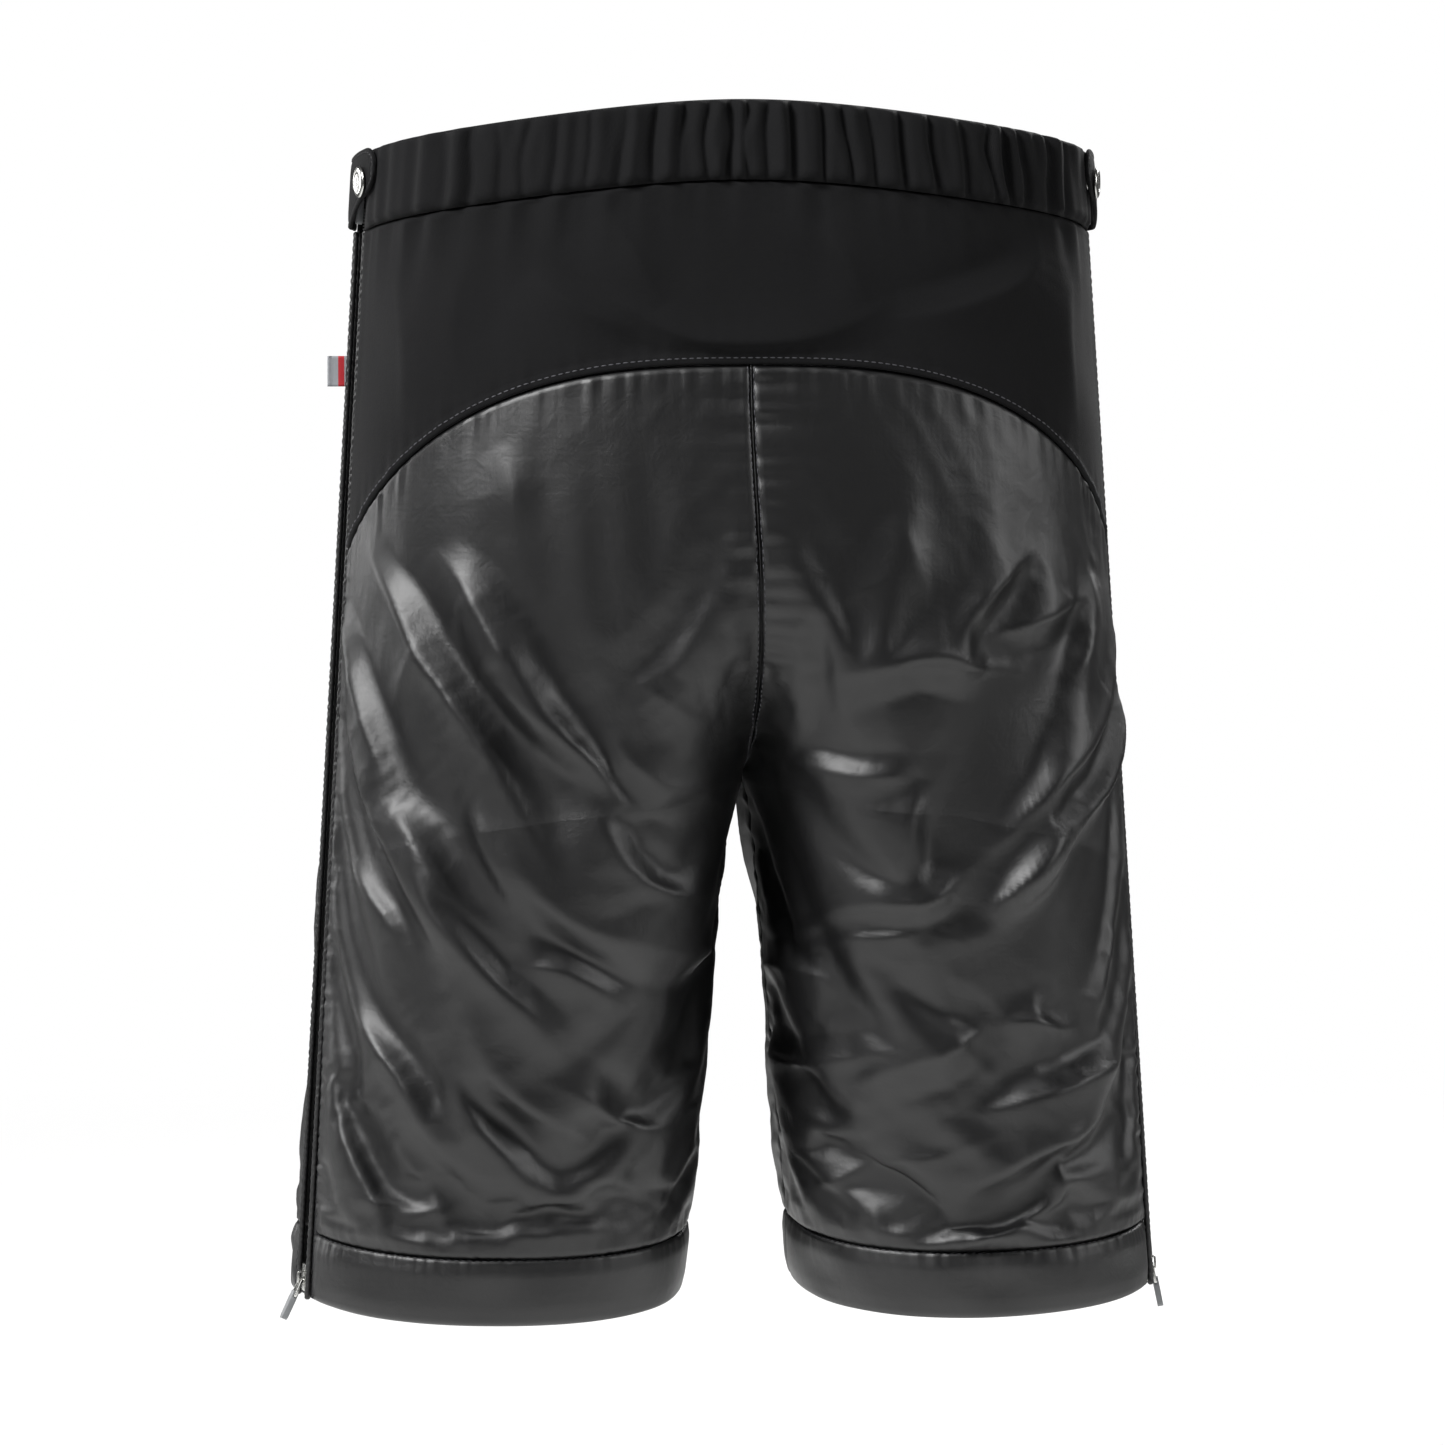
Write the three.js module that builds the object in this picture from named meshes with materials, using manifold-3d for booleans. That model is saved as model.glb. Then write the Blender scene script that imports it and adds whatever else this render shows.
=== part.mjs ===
// Insulated over-shorts with a full-length two-way zip down each side.
// Millimetres, +Z up, the wearer's left is +X and the back is +Y.
// The origin is the middle of the waist opening, level with the top of the back waistband.
import * as THREE from "three";
import { mergeVertices } from "three/addons/utils/BufferGeometryUtils.js";
import Module from "manifold-3d";

// The garment
const RISE = 300; // top of the back waistband down to the crotch
const INSEAM = 241; // crotch down to the hem
const WAIST_DROP = 44; // how much lower the waistband is in front than behind
const BAND_HEIGHT = 35;
const BAND_WALL = 1.1;
const BAND_THICKNESS = 4.5;
const HEM_HEIGHT = 30;
const HEM_RISE = 6; // the hem turns up this much at the inseam and the zip
const WAIST_BACK_DEPTH = 102;
const HIP_BACK_DEPTH = 131;
const WAIST_FRONT_DEPTH = 93;
const HIP_FRONT_DEPTH = 107;
const THIGH_DEPTH = 110; // half the front-to-back depth of a leg at the crotch
const THIGH_CENTRE = 6;
const HEM_DEPTH = 86;
const HEM_CENTRE = 2;
const LUMBAR_LEVEL = 0.4; // shares of the rise, down from the waist
const SEAT_LEVEL = 0.76;
const BELLY_LEVEL = 0.5;
const LUMBAR_FULLNESS = 0.62; // shares of the way from waist depth to hip depth
const BELLY_FULLNESS = 0.7;
const SEAT_TUCK = 6; // the seat comes in this much down to the crotch
const THIGH_TOP_FULLNESS = 3;
const KNEE_TAPER = 0.55;
const PELVIS_POWER = 2.4; // 2 is an ellipse, more is squarer
const LEG_POWER = 2.3;
const HIP_REACH = 130; // this far above the crotch the two halves start to part into legs
const OUTSIDE_REACH = 100; // the outside of the thigh starts to turn into a leg here
const THIGH_REACH = 100; // and this far below the crotch they are legs all round
const INNER_CURVE = 4.2; // how far the legs part in the first centimetres
const INNER_CURVE_LENGTH = 14;
const INNER_SPREAD = 0.09; // and then per millimetre down
const CROTCH_DRIFT = -6; // the worn garment hangs this far over to one side
const DRIFT_REACH = 120;
const DRIFT_START = 180; // the drift grows from this far above the crotch
const DRIFT_END = 30; // to this far above it

// Seams and layers, from the outside in
const SEAM_GAP = 0.4;
const SHELL = 0.6;
const WADDING = 5;
const LINING = 0.6;
const LAYER_GAP = 0.3;
const YOKE_THICKNESS = 1.2;
const YOKE_LENGTH = 80; // waistband seam to the top of the arched seam
const ARCH_DROP = 100;
const ARCH_POWER = 2.8;
const ELASTIC_WIDTH = 28;

// The side zips run straight from the waist to the hem
const ZIP_WAIST = [161, 11]; // x and y level with the top of the back waistband
const ZIP_HEM = [194, 32]; // x and y level with the hem
const ZIP_FACING = 10; // degrees that the zips face backwards
const ZIP_SINK = 3.5; // tape face below the surface of the garment
const ZIP_MARGIN = 11.4; // zip centre to the panel edge
const ZIP_TOP_SPACE = 5; // waist edge down to the end of the tape
const TAPE_WIDTH = 7.5;
const TAPE_THICKNESS = 0.6;
const COIL_WIDTH = 2.9;
const COIL_HEIGHT = 1.6;
const COIL_CENTRE_GAP = 0.6;
const PIPING_RADIUS = 1.5;
const FLAP_HALF_WIDTH = 14;
const FLAP_THICKNESS = 0.6;
const FLAP_GAP = 4.5; // between the linings and the wind flap behind them

// Sliders and pulls
const SLIDER_LENGTH = 12;
const SLIDER_WIDTH = 9.4;
const SLIDER_PLATE = 1;
const SLIDER_TAPER = 0.7; // each side comes in this much towards the nose
const SLIDER_NOSE_CORNER = 1.5;
const SLIDER_SHOULDER_CORNER = 2.5;
const SLIDER_BLADE_LENGTH = 5;
const SLIDER_CLEARANCE = 0.3;
const WELD = 0.3; // how far joined metal reaches into its neighbour
const BAIL_LENGTH = 6;
const BAIL_HEIGHT = 2.8;
const BAIL_WIDTH = 2.2;
const BAIL_WALL = 0.9;
const BAIL_CORNER = 1.2;
const LINK_LENGTH = 9.2;
const LINK_WIDTH = 7;
const LINK_BAR = 1;
const GRIP_LENGTH = 13.5;
const GRIP_WIDTH = 5.2;
const GRIP_THICKNESS = 2.6;
const GRIP_NECK = 1.5;
const LINK_PLAY = 0.2;
const STOP_LENGTH = 2.6;
const PULL_REST = { left: 22, right: 8 }; // degrees that each bottom pull stands off

// Waist tabs and their snaps
const TAB_ROOT = -13; // from the zip centre, forwards is negative
const TAB_TIP = 31;
const TAB_DROP = 1.5; // below the waist edge
const TAB_ROOT_MARGIN = 3; // its root is this much lower than the waistband is high
const TAB_FOLD = 7; // how far back from the root it reaches its full lift
const TAB_THICKNESS = 2;
const TAB_CLEARANCE = 0.4; // above the slider it covers
const TAB_TIP_HEIGHT = 21;
const TAB_CORNER = 10;
const SNAP_PLACE = 19;
const SNAP_RADIUS = 7;
const SNAP_HEIGHT = 1.6;
const SNAP_DROP = 3; // from the waist edge to the upper edge of the tab at its tip
const SNAP_FLANGE = 4.6; // radius of the plates behind stud, socket and washer
const SNAP_PLATE = 0.4;
const SNAP_PLAY = 0.4; // between the stud and the ring of the socket
const CAP_PLAY = 0.173; // what is left between a snap part and the cloth it is riveted
const PLATE_PLAY = 0.119; // through, where its rim comes nearest to the leaning cloth
const WASHER_PLAY = 0.319;
const STUD_RADIUS = 2;
const WASHER_THICKNESS = 0.8;

// The woven tag in the left side seam
const TAG_HEIGHT = 13.7;
const TAG_LENGTH = 10;
const TAG_THICKNESS = 0.9;
const TAG_LEVEL = -120;
const TAG_PLACE = 2.5; // in front of the panel edge
const TAG_PLAY = 0.182; // between the tag's upper corner and the shell

// How finely the panels are divided
const PANEL_COLUMNS = 10;
const PELVIS_ROWS = 7;
const LEG_ROWS = 5;
const COLUMN_CROWDING = 1.3; // 1 spaces them evenly
const PELVIS_CROWDING = 1.8;
const LEG_CROWDING = 1.5;

const CROTCH_Z = -RISE;
const HEM_Z = -(RISE + INSEAM);
const HIP_LINE = CROTCH_Z + HIP_REACH;
const OUTSIDE_LINE = CROTCH_Z + OUTSIDE_REACH;
const THIGH_LINE = CROTCH_Z - THIGH_REACH;
const LEAN = (ZIP_HEM[0] - ZIP_WAIST[0]) / (RISE + INSEAM); // the sides spread this much
const WADDING_TOP = SHELL + LAYER_GAP;
const LINING_TOP = WADDING_TOP + WADDING + LAYER_GAP;
const PANEL_THICKNESS = LINING_TOP + LINING;
const { lerp, clamp, smoothstep, degToRad } = THREE.MathUtils;

const wasm = await Module();
wasm.setup();

// A smooth curve through a few [height, value] rows, the highest first.
function profile(rows) {
  const slope = rows.map((row, i) => {
    const above = rows[Math.max(i - 1, 0)];
    const below = rows[Math.min(i + 1, rows.length - 1)];
    return (below[1] - above[1]) / (below[0] - above[0]);
  });
  return (z) => {
    let i = 0;
    while (i < rows.length - 2 && z < rows[i + 1][0]) i += 1;
    const step = rows[i + 1][0] - rows[i][0];
    const t = clamp((z - rows[i][0]) / step, 0, 1);
    const rise = t * t * (3 - 2 * t);
    return (
      lerp(rows[i][1], rows[i + 1][1], rise) +
      step * (slope[i] * t * (1 - t) ** 2 - slope[i + 1] * t * t * (1 - t))
    );
  };
}

const pelvisBack = profile([
  [0, WAIST_BACK_DEPTH],
  [-LUMBAR_LEVEL * RISE, lerp(WAIST_BACK_DEPTH, HIP_BACK_DEPTH, LUMBAR_FULLNESS)],
  [-SEAT_LEVEL * RISE, HIP_BACK_DEPTH],
  [-RISE, HIP_BACK_DEPTH - SEAT_TUCK],
]);
const pelvisFront = profile([
  [0, WAIST_FRONT_DEPTH],
  [-BELLY_LEVEL * RISE, lerp(WAIST_FRONT_DEPTH, HIP_FRONT_DEPTH, BELLY_FULLNESS)],
  [-RISE, HIP_FRONT_DEPTH],
]);

function zipAt(z) {
  const t = z / HEM_Z;
  return new THREE.Vector2(
    lerp(ZIP_WAIST[0], ZIP_HEM[0], t),
    lerp(ZIP_WAIST[1], ZIP_HEM[1], t),
  );
}

const legHalfDepth = profile([
  [HIP_LINE, THIGH_DEPTH + THIGH_TOP_FULLNESS],
  [CROTCH_Z, THIGH_DEPTH],
  [0.5 * (CROTCH_Z + HEM_Z), lerp(THIGH_DEPTH, HEM_DEPTH, KNEE_TAPER)],
  [HEM_Z, HEM_DEPTH],
]);

// Half the gap between the legs, and half a seam above the crotch.
function innerLine(z) {
  const below = Math.max(0, CROTCH_Z - z);
  const parting = INNER_CURVE * (1 - Math.exp(-below / INNER_CURVE_LENGTH));
  return SEAM_GAP / 2 + parting + INNER_SPREAD * below;
}

// 0 on the pelvis and 1 in the legs: along a quarter ellipse under the crotch, and
// gently down the outside of the thigh.
function legShare(turn, z) {
  const t = clamp((HIP_LINE - z) / (HIP_LINE - CROTCH_Z), 0, 1);
  const outside = 1 - smoothstep(z, THIGH_LINE, OUTSIDE_LINE);
  return lerp(outside, 1 - Math.sqrt(1 - t * t), (2 * turn - 1) ** 4);
}

function superellipse(angle, halfWidth, halfDepth, power) {
  const across = (Math.abs(Math.cos(angle)) / halfWidth) ** power;
  const along = (Math.abs(Math.sin(angle)) / halfDepth) ** power;
  const r = (across + along) ** (-1 / power);
  return new THREE.Vector2(r * Math.cos(angle), r * Math.sin(angle));
}

// The left half of the level outline: turn runs from 0 at the centre back through 0.5
// at the zip to 1 at the centre front, and in the legs from inseam to inseam.
function outline(turn, z) {
  const zip = zipAt(z);
  const sweep = (first, atZip) =>
    turn < 0.5 ? lerp(first, atZip, 2 * turn) : lerp(atZip, -first, 2 * turn - 1);

  const back = pelvisBack(z);
  const halfWidth = zip.x / (1 - (zip.y / back) ** PELVIS_POWER) ** (1 / PELVIS_POWER);
  const pelvisAngle = sweep(Math.PI / 2, Math.atan2(zip.y, zip.x));
  const depth = pelvisAngle > 0 ? back : pelvisFront(z);
  const pelvis = superellipse(pelvisAngle, halfWidth, depth, PELVIS_POWER);

  const down = clamp((z - CROTCH_Z) / (HEM_Z - CROTCH_Z), 0, 1);
  const legDepth = legHalfDepth(z);
  const centreY = lerp(THIGH_CENTRE, HEM_CENTRE, down);
  const inner = innerLine(z);
  const reach = (1 - ((zip.y - centreY) / legDepth) ** LEG_POWER) ** (1 / LEG_POWER);
  const legHalf = (zip.x - inner) / (1 + reach);
  const centre = new THREE.Vector2(inner + legHalf, centreY);
  const legAngle = sweep(Math.PI, Math.atan2(zip.y - centreY, zip.x - centre.x));
  const leg = superellipse(legAngle, legHalf, legDepth, LEG_POWER).add(centre);
  return pelvis.lerp(leg, legShare(turn, z));
}

function outwards(turn, z) {
  const ahead = outline(Math.min(turn + 1e-3, 1), z);
  const tangent = ahead.sub(outline(Math.max(turn - 1e-3, 0), z)).normalize();
  return new THREE.Vector2(-tangent.y, tangent.x);
}

// A point of the garment, depth millimetres inside its outer surface.
function skin(side, turn, z, depth) {
  const p = outline(turn, z).addScaledVector(outwards(turn, z), -depth);
  const lean = Math.max(0, 1 - (p.x / DRIFT_REACH) ** 2);
  const drift = CROTCH_DRIFT * smoothstep(z, CROTCH_Z + DRIFT_END, CROTCH_Z + DRIFT_START);
  return new THREE.Vector3(side * p.x + (CROTCH_DRIFT - drift) * lean, p.y, z);
}

// The turn that lies arc millimetres from the zip, towards the back where positive.
function turnFromZip(arc, z) {
  const step = arc > 0 ? -1e-3 : 1e-3;
  const speed = outline(0.5 + step, z).distanceTo(outline(0.5, z)) / 1e-3;
  return 0.5 - arc / speed;
}

// Columns of a back or front panel: 0 at its seam or middle, 1 beside the zip.
function panelTurn(face, column, z, seamGap) {
  const start = face === "back" ? 0 : 1;
  const step = face === "back" ? 1e-3 : -1e-3;
  const speed = outline(start + step, z).distanceTo(outline(start, z)) / 1e-3;
  const seam = start + Math.sign(step) * (seamGap / 2 / speed);
  const edge = turnFromZip(face === "back" ? ZIP_MARGIN : -ZIP_MARGIN, z);
  return lerp(seam, edge, column);
}

// Where the waist edge and the seams run, by turn or by panel column.
const waistEdge = (turn) => -WAIST_DROP * (0.5 - 0.5 * Math.cos(Math.PI * turn));
const turnOf = (face, column) => (face === "back" ? column / 2 : 1 - column / 2);
const bandTop = (face, column) => waistEdge(turnOf(face, column));
const bandBottom = (face, column) => bandTop(face, column) - BAND_HEIGHT;
const hemBottom = (column) => HEM_Z + HEM_RISE * (1 - Math.sin(Math.PI * column));
const hemSeam = (column) => hemBottom(column) + HEM_HEIGHT;

function archSeam(column) {
  const top = -BAND_HEIGHT - YOKE_LENGTH;
  const middle = top - ARCH_DROP / 3;
  const across = outline(panelTurn("back", column, middle, 0), middle).x / zipAt(middle).x;
  return top - ARCH_DROP * (1 - Math.sqrt(1 - Math.min(across, 1) ** ARCH_POWER));
}

// End faces of a section that runs down one face and back up the other.
function ladderCaps(count) {
  const caps = [];
  for (let i = 0; i < count / 2 - 1; i += 1) {
    caps.push([i, i + 1, count - 2 - i], [i, count - 2 - i, count - 1 - i]);
  }
  return caps;
}

// A closed solid through rings of points that all follow one closed section.
function loft(rings, caps = ladderCaps(rings[0].length)) {
  const count = rings[0].length;
  const index = [];
  for (let i = 0; i < rings.length - 1; i += 1) {
    for (let j = 0; j < count; j += 1) {
      const a = i * count + j;
      const b = i * count + ((j + 1) % count);
      // Facing sides are split along the same diagonal, so that layers stay parallel.
      if (rings[0][(j + 1) % count].z < rings[0][j].z) {
        index.push(a, b, b + count, a, b + count, a + count);
      } else {
        index.push(a, b, a + count, b, b + count, a + count);
      }
    }
  }
  const last = (rings.length - 1) * count;
  for (const [a, b, c] of caps) index.push(c, b, a, last + a, last + b, last + c);
  const position = rings.flat().flatMap((p) => [p.x, p.y, p.z]);
  // An inside-out lattice is turned round by its signed volume.
  const at = (i) => new THREE.Vector3().fromArray(position, 3 * i);
  let volume = 0;
  for (let i = 0; i < index.length; i += 3) {
    volume += at(index[i]).dot(at(index[i + 1]).cross(at(index[i + 2])));
  }
  if (volume < 0) index.reverse();
  const geometry = new THREE.BufferGeometry();
  geometry.setAttribute("position", new THREE.Float32BufferAttribute(position, 3));
  geometry.setIndex(index);
  geometry.computeVertexNormals();
  return geometry;
}

const steps = (from, to, count) =>
  Array.from({ length: count + 1 }, (_, i) => lerp(from, to, i / count));

// Columns lie closer together beside the zip, where the hip turns faster.
const halfColumns = () =>
  steps(0, 1, PANEL_COLUMNS).map((t) => 1 - (1 - t) ** COLUMN_CROWDING);

// The section of a layer: down its outer face and back up its inner one.
function layerSection(levels, outer, inner) {
  const down = levels.map((z) => new THREE.Vector2(outer, z));
  return down.concat(levels.toReversed().map((z) => new THREE.Vector2(inner, z)));
}

// Levels of a leg panel, closer together where it turns in under the crotch.
function panelLevels(top, bottom) {
  const pelvis = steps(0, 1, PELVIS_ROWS).map((t) =>
    lerp(CROTCH_Z, top, (1 - t) ** PELVIS_CROWDING),
  );
  const leg = steps(0, 1, LEG_ROWS).map((t) => lerp(CROTCH_Z, bottom, t ** LEG_CROWDING));
  return pelvis.concat(leg.slice(1));
}

// A section carried across a panel; columns below 0 are on the right-hand side.
function acrossPanel(face, columns, sectionAt, { seamGap = 0, side, caps }) {
  const rings = columns.map((column) => {
    const hand = side ?? (column < 0 ? -1 : 1);
    return sectionAt(Math.abs(column)).map(({ x: depth, y: z }) =>
      skin(hand, panelTurn(face, Math.abs(column), z, seamGap), z, depth),
    );
  });
  return loft(rings, caps);
}

const MATERIALS = {
  nylon: { color: 0x2e2e30, roughness: 0.42, metalness: 0 },
  wadding: { color: 0xe4e4e0, roughness: 0.95, metalness: 0 },
  lining: { color: 0x1d1d20, roughness: 0.6, metalness: 0 },
  softshell: { color: 0x161618, roughness: 0.85, metalness: 0 },
  elastic: { color: 0x101011, roughness: 0.9, metalness: 0 },
  tape: { color: 0x121213, roughness: 0.85, metalness: 0 },
  coil: { color: 0x1c1c1e, roughness: 0.4, metalness: 0 },
  nickel: { color: 0xc8c8c6, roughness: 0.25, metalness: 1 },
  grip: { color: 0x77797b, roughness: 0.5, metalness: 0 },
  tag: { color: 0xa6a8aa, roughness: 0.8, metalness: 0 },
};

const shorts = new THREE.Group();

// Adds one named piece to the garment or to a group within it.
function addMesh(name, geometry, material, parent = shorts) {
  const mesh = new THREE.Mesh(
    geometry,
    new THREE.MeshStandardMaterial({ ...MATERIALS[material], flatShading: true }),
  );
  mesh.name = name;
  parent.add(mesh);
  return mesh;
}

// Leg panels: shell, wadding and lining, each a solid of its own.
function addPanels() {
  const columns = halfColumns();
  const layers = [
    ["shell", 0, SHELL, "nylon"],
    ["wadding", WADDING_TOP, WADDING_TOP + WADDING, "wadding"],
    ["lining", LINING_TOP, PANEL_THICKNESS, "lining"],
  ];
  for (const [hand, side] of [["left", 1], ["right", -1]]) {
    for (const face of ["back", "front"]) {
      const topOf = face === "back" ? archSeam : (column) => bandBottom("front", column);
      for (const [layer, outer, inner, material] of layers) {
        const sectionAt = (column) =>
          layerSection(
            panelLevels(topOf(column) - SEAM_GAP, hemSeam(column) + SEAM_GAP),
            outer,
            inner,
          );
        const solid = acrossPanel(face, columns, sectionAt, { seamGap: SEAM_GAP, side });
        addMesh(`${face}_${hand}_${layer}`, solid, material);
      }
      const hemAt = (column) =>
        layerSection([hemSeam(column), hemBottom(column)], 0, PANEL_THICKNESS);
      const hem = acrossPanel(face, columns, hemAt, { seamGap: SEAM_GAP, side });
      addMesh(`${face}_${hand}_hem`, hem, "nylon");
    }
  }
}

function addYokeAndBands() {
  const half = halfColumns();
  const columns = half.slice(1).map((column) => -column).reverse().concat(half);
  const yokeAt = (column) => {
    const levels = steps(bandBottom("back", column) - SEAM_GAP, archSeam(column), 4);
    return layerSection(levels, 0, YOKE_THICKNESS);
  };
  addMesh("back_yoke", acrossPanel("back", columns, yokeAt, {}), "softshell");

  // A waistband is one strip folded over at the top.
  const foldedAt = (face) => (column) => {
    const top = bandTop(face, column);
    const bottom = bandBottom(face, column);
    const insideTop = top - BAND_WALL;
    const inner = BAND_THICKNESS - BAND_WALL;
    return [
      [0, top],
      [0, bottom],
      [BAND_WALL, bottom],
      [BAND_WALL, insideTop],
      [inner, insideTop],
      [inner, bottom],
      [BAND_THICKNESS, bottom],
      [BAND_THICKNESS, top],
    ].map(([depth, z]) => new THREE.Vector2(depth, z));
  };
  const caps = [[0, 1, 2], [0, 2, 3], [0, 3, 7], [3, 4, 7], [4, 5, 6], [4, 6, 7]];
  for (const face of ["back", "front"]) {
    const band = acrossPanel(face, columns, foldedAt(face), { caps });
    addMesh(`${face}_waistband`, band, "softshell");
  }
  const elasticAt = (column) => {
    const top = bandTop("back", column) - BAND_WALL - LAYER_GAP;
    const outer = BAND_WALL + LAYER_GAP;
    const inner = BAND_THICKNESS - BAND_WALL - LAYER_GAP;
    return layerSection([top, top - ELASTIC_WIDTH], outer, inner);
  };
  addMesh("waist_elastic", acrossPanel("back", columns, elasticAt, {}), "elastic");
}

// The zip's own frame: x along the garment, y outwards, z up the zip, origin at the
// bottom end of the zip on the face of the tape. backwards is the sign of x towards the back.
function zipFrame(side) {
  const top = zipAt(0);
  const bottom = zipAt(HEM_Z);
  const end = zipAt(HEM_Z + HEM_RISE);
  const up = new THREE.Vector3(side * (top.x - bottom.x), top.y - bottom.y, -HEM_Z).normalize();
  const facing = degToRad(ZIP_FACING);
  const out = new THREE.Vector3(side * Math.cos(facing), Math.sin(facing), 0);
  out.addScaledVector(up, -out.dot(up)).normalize();
  const across = new THREE.Vector3().crossVectors(out, up);
  const frame = new THREE.Group();
  const basis = new THREE.Matrix4().makeBasis(across, out, up);
  frame.setRotationFromMatrix(basis);
  frame.position.set(side * end.x, end.y, HEM_Z + HEM_RISE).addScaledVector(out, -ZIP_SINK);
  frame.userData = { backwards: -side, up, out, across };
  shorts.add(frame);
  return frame;
}

// How far up the zip a height of the garment lies.
const upTheZip = (z, frame) => (z - frame.position.z) / frame.userData.up.z;

const zipLength = (frame) => upTheZip(waistEdge(0.5) - ZIP_TOP_SPACE, frame);

function outlineShape(points) {
  return new THREE.Shape(points.map(([x, y]) => new THREE.Vector2(x, y)));
}

function extrude(shape, depth, curveSegments = 8) {
  return new THREE.ExtrudeGeometry(shape, { depth, bevelEnabled: false, curveSegments });
}

function mirrored(points, sign) {
  return points.map(([x, y]) => [sign * x, y]);
}

function roundedBox(x, y, width, height, corner) {
  const shape = new THREE.Shape();
  const [left, right] = [x - width / 2, x + width / 2];
  const [low, high] = [y - height / 2, y + height / 2];
  shape.moveTo(left + corner, low);
  shape.lineTo(right - corner, low);
  shape.absarc(right - corner, low + corner, corner, -Math.PI / 2, 0, false);
  shape.absarc(right - corner, high - corner, corner, 0, Math.PI / 2, false);
  shape.absarc(left + corner, high - corner, corner, Math.PI / 2, Math.PI, false);
  shape.absarc(left + corner, low + corner, corner, Math.PI, 1.5 * Math.PI, false);
  return shape;
}

const COIL_BASE = SLIDER_CLEARANCE;
const COIL_TOP = COIL_BASE + COIL_HEIGHT;
const PLATE_TOP = COIL_TOP + SLIDER_CLEARANCE + SLIDER_PLATE;
const HINGE_HEIGHT = PLATE_TOP + (BAIL_HEIGHT - BAIL_WALL) / 2;
const TAB_LIFT = PLATE_TOP + BAIL_HEIGHT + TAB_CLEARANCE - ZIP_SINK;

// Tapes, coils, piping and the wind flap of one zip.
function addZip(hand, frame) {
  const length = zipLength(frame);
  const { backwards } = frame.userData;
  const pipingLength = upTheZip(waistEdge(0.5) - BAND_HEIGHT - SEAM_GAP, frame);
  for (const [face, sign] of [["back", backwards], ["front", -backwards]]) {
    const tape = [
      [COIL_CENTRE_GAP, -TAPE_THICKNESS],
      [TAPE_WIDTH, -TAPE_THICKNESS],
      [TAPE_WIDTH, 0],
      [COIL_CENTRE_GAP, 0],
    ];
    const strip = extrude(outlineShape(mirrored(tape, sign)), length);
    addMesh(`zip_tape_${face}_${hand}`, strip, "tape", frame);
    const round = 0.3 * COIL_HEIGHT;
    const coil = [
      [COIL_CENTRE_GAP, COIL_BASE],
      [COIL_WIDTH - round, COIL_BASE],
      [COIL_WIDTH, COIL_BASE + round],
      [COIL_WIDTH, COIL_TOP - round],
      [COIL_WIDTH - round, COIL_TOP],
      [COIL_CENTRE_GAP, COIL_TOP],
    ];
    const chain = addMesh(
      `zip_coil_${face}_${hand}`,
      extrude(outlineShape(mirrored(coil, sign)), length - STOP_LENGTH - LAYER_GAP),
      "coil",
      frame,
    );
    chain.position.z = STOP_LENGTH + LAYER_GAP;
    const cord = new THREE.Shape().absarc(
      sign * (TAPE_WIDTH + LAYER_GAP + PIPING_RADIUS),
      ZIP_SINK - PIPING_RADIUS / 3,
      PIPING_RADIUS,
      0,
      2 * Math.PI,
      false,
    );
    addMesh(`piping_${face}_${hand}`, extrude(cord, pipingLength, 10), "nylon", frame);
  }
  const flapDepth = ZIP_SINK - PANEL_THICKNESS - FLAP_GAP;
  const flap = outlineShape([
    [-FLAP_HALF_WIDTH, flapDepth - FLAP_THICKNESS],
    [FLAP_HALF_WIDTH, flapDepth - FLAP_THICKNESS],
    [FLAP_HALF_WIDTH, flapDepth],
    [-FLAP_HALF_WIDTH, flapDepth],
  ]);
  addMesh(`zip_flap_${hand}`, extrude(flap, pipingLength), "lining", frame);
  const stopBase = -TAPE_THICKNESS - SLIDER_CLEARANCE;
  const stop = outlineShape([
    [-COIL_WIDTH, COIL_BASE],
    [COIL_WIDTH, COIL_BASE],
    [COIL_WIDTH, COIL_TOP],
    [-COIL_WIDTH, COIL_TOP],
  ]);
  const backStop = new THREE.BoxGeometry(
    2 * (COIL_CENTRE_GAP - 0.2),
    COIL_TOP - stopBase,
    STOP_LENGTH,
  );
  backStop.translate(0, (COIL_TOP + stopBase) / 2, STOP_LENGTH / 2);
  addMesh(`zip_stop_${hand}`, joined([extrude(stop, STOP_LENGTH), backStop]), "nickel", frame);
}

function solidOf(geometry) {
  const bare = geometry.clone();
  for (const name of ["normal", "uv"]) bare.deleteAttribute(name);
  const merged = mergeVertices(bare, 1e-4);
  return new wasm.Manifold(
    new wasm.Mesh({
      numProp: 3,
      vertProperties: merged.attributes.position.array,
      triVerts: new Uint32Array(merged.index.array),
    }),
  );
}

function geometryOf(solid) {
  const mesh = solid.getMesh();
  const geometry = new THREE.BufferGeometry();
  geometry.setAttribute("position", new THREE.BufferAttribute(mesh.vertProperties, 3));
  geometry.setIndex(new THREE.BufferAttribute(mesh.triVerts, 1));
  geometry.computeVertexNormals();
  return geometry;
}

function joined(geometries) {
  const [first, ...rest] = geometries.map(solidOf);
  return geometryOf(rest.reduce((whole, solid) => whole.add(solid), first));
}

function block(x0, x1, y0, y1, z0, z1) {
  const box = new THREE.BoxGeometry(x1 - x0, y1 - y0, z1 - z0);
  return box.translate((x0 + x1) / 2, (y0 + y1) / 2, (z0 + z1) / 2);
}

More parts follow.
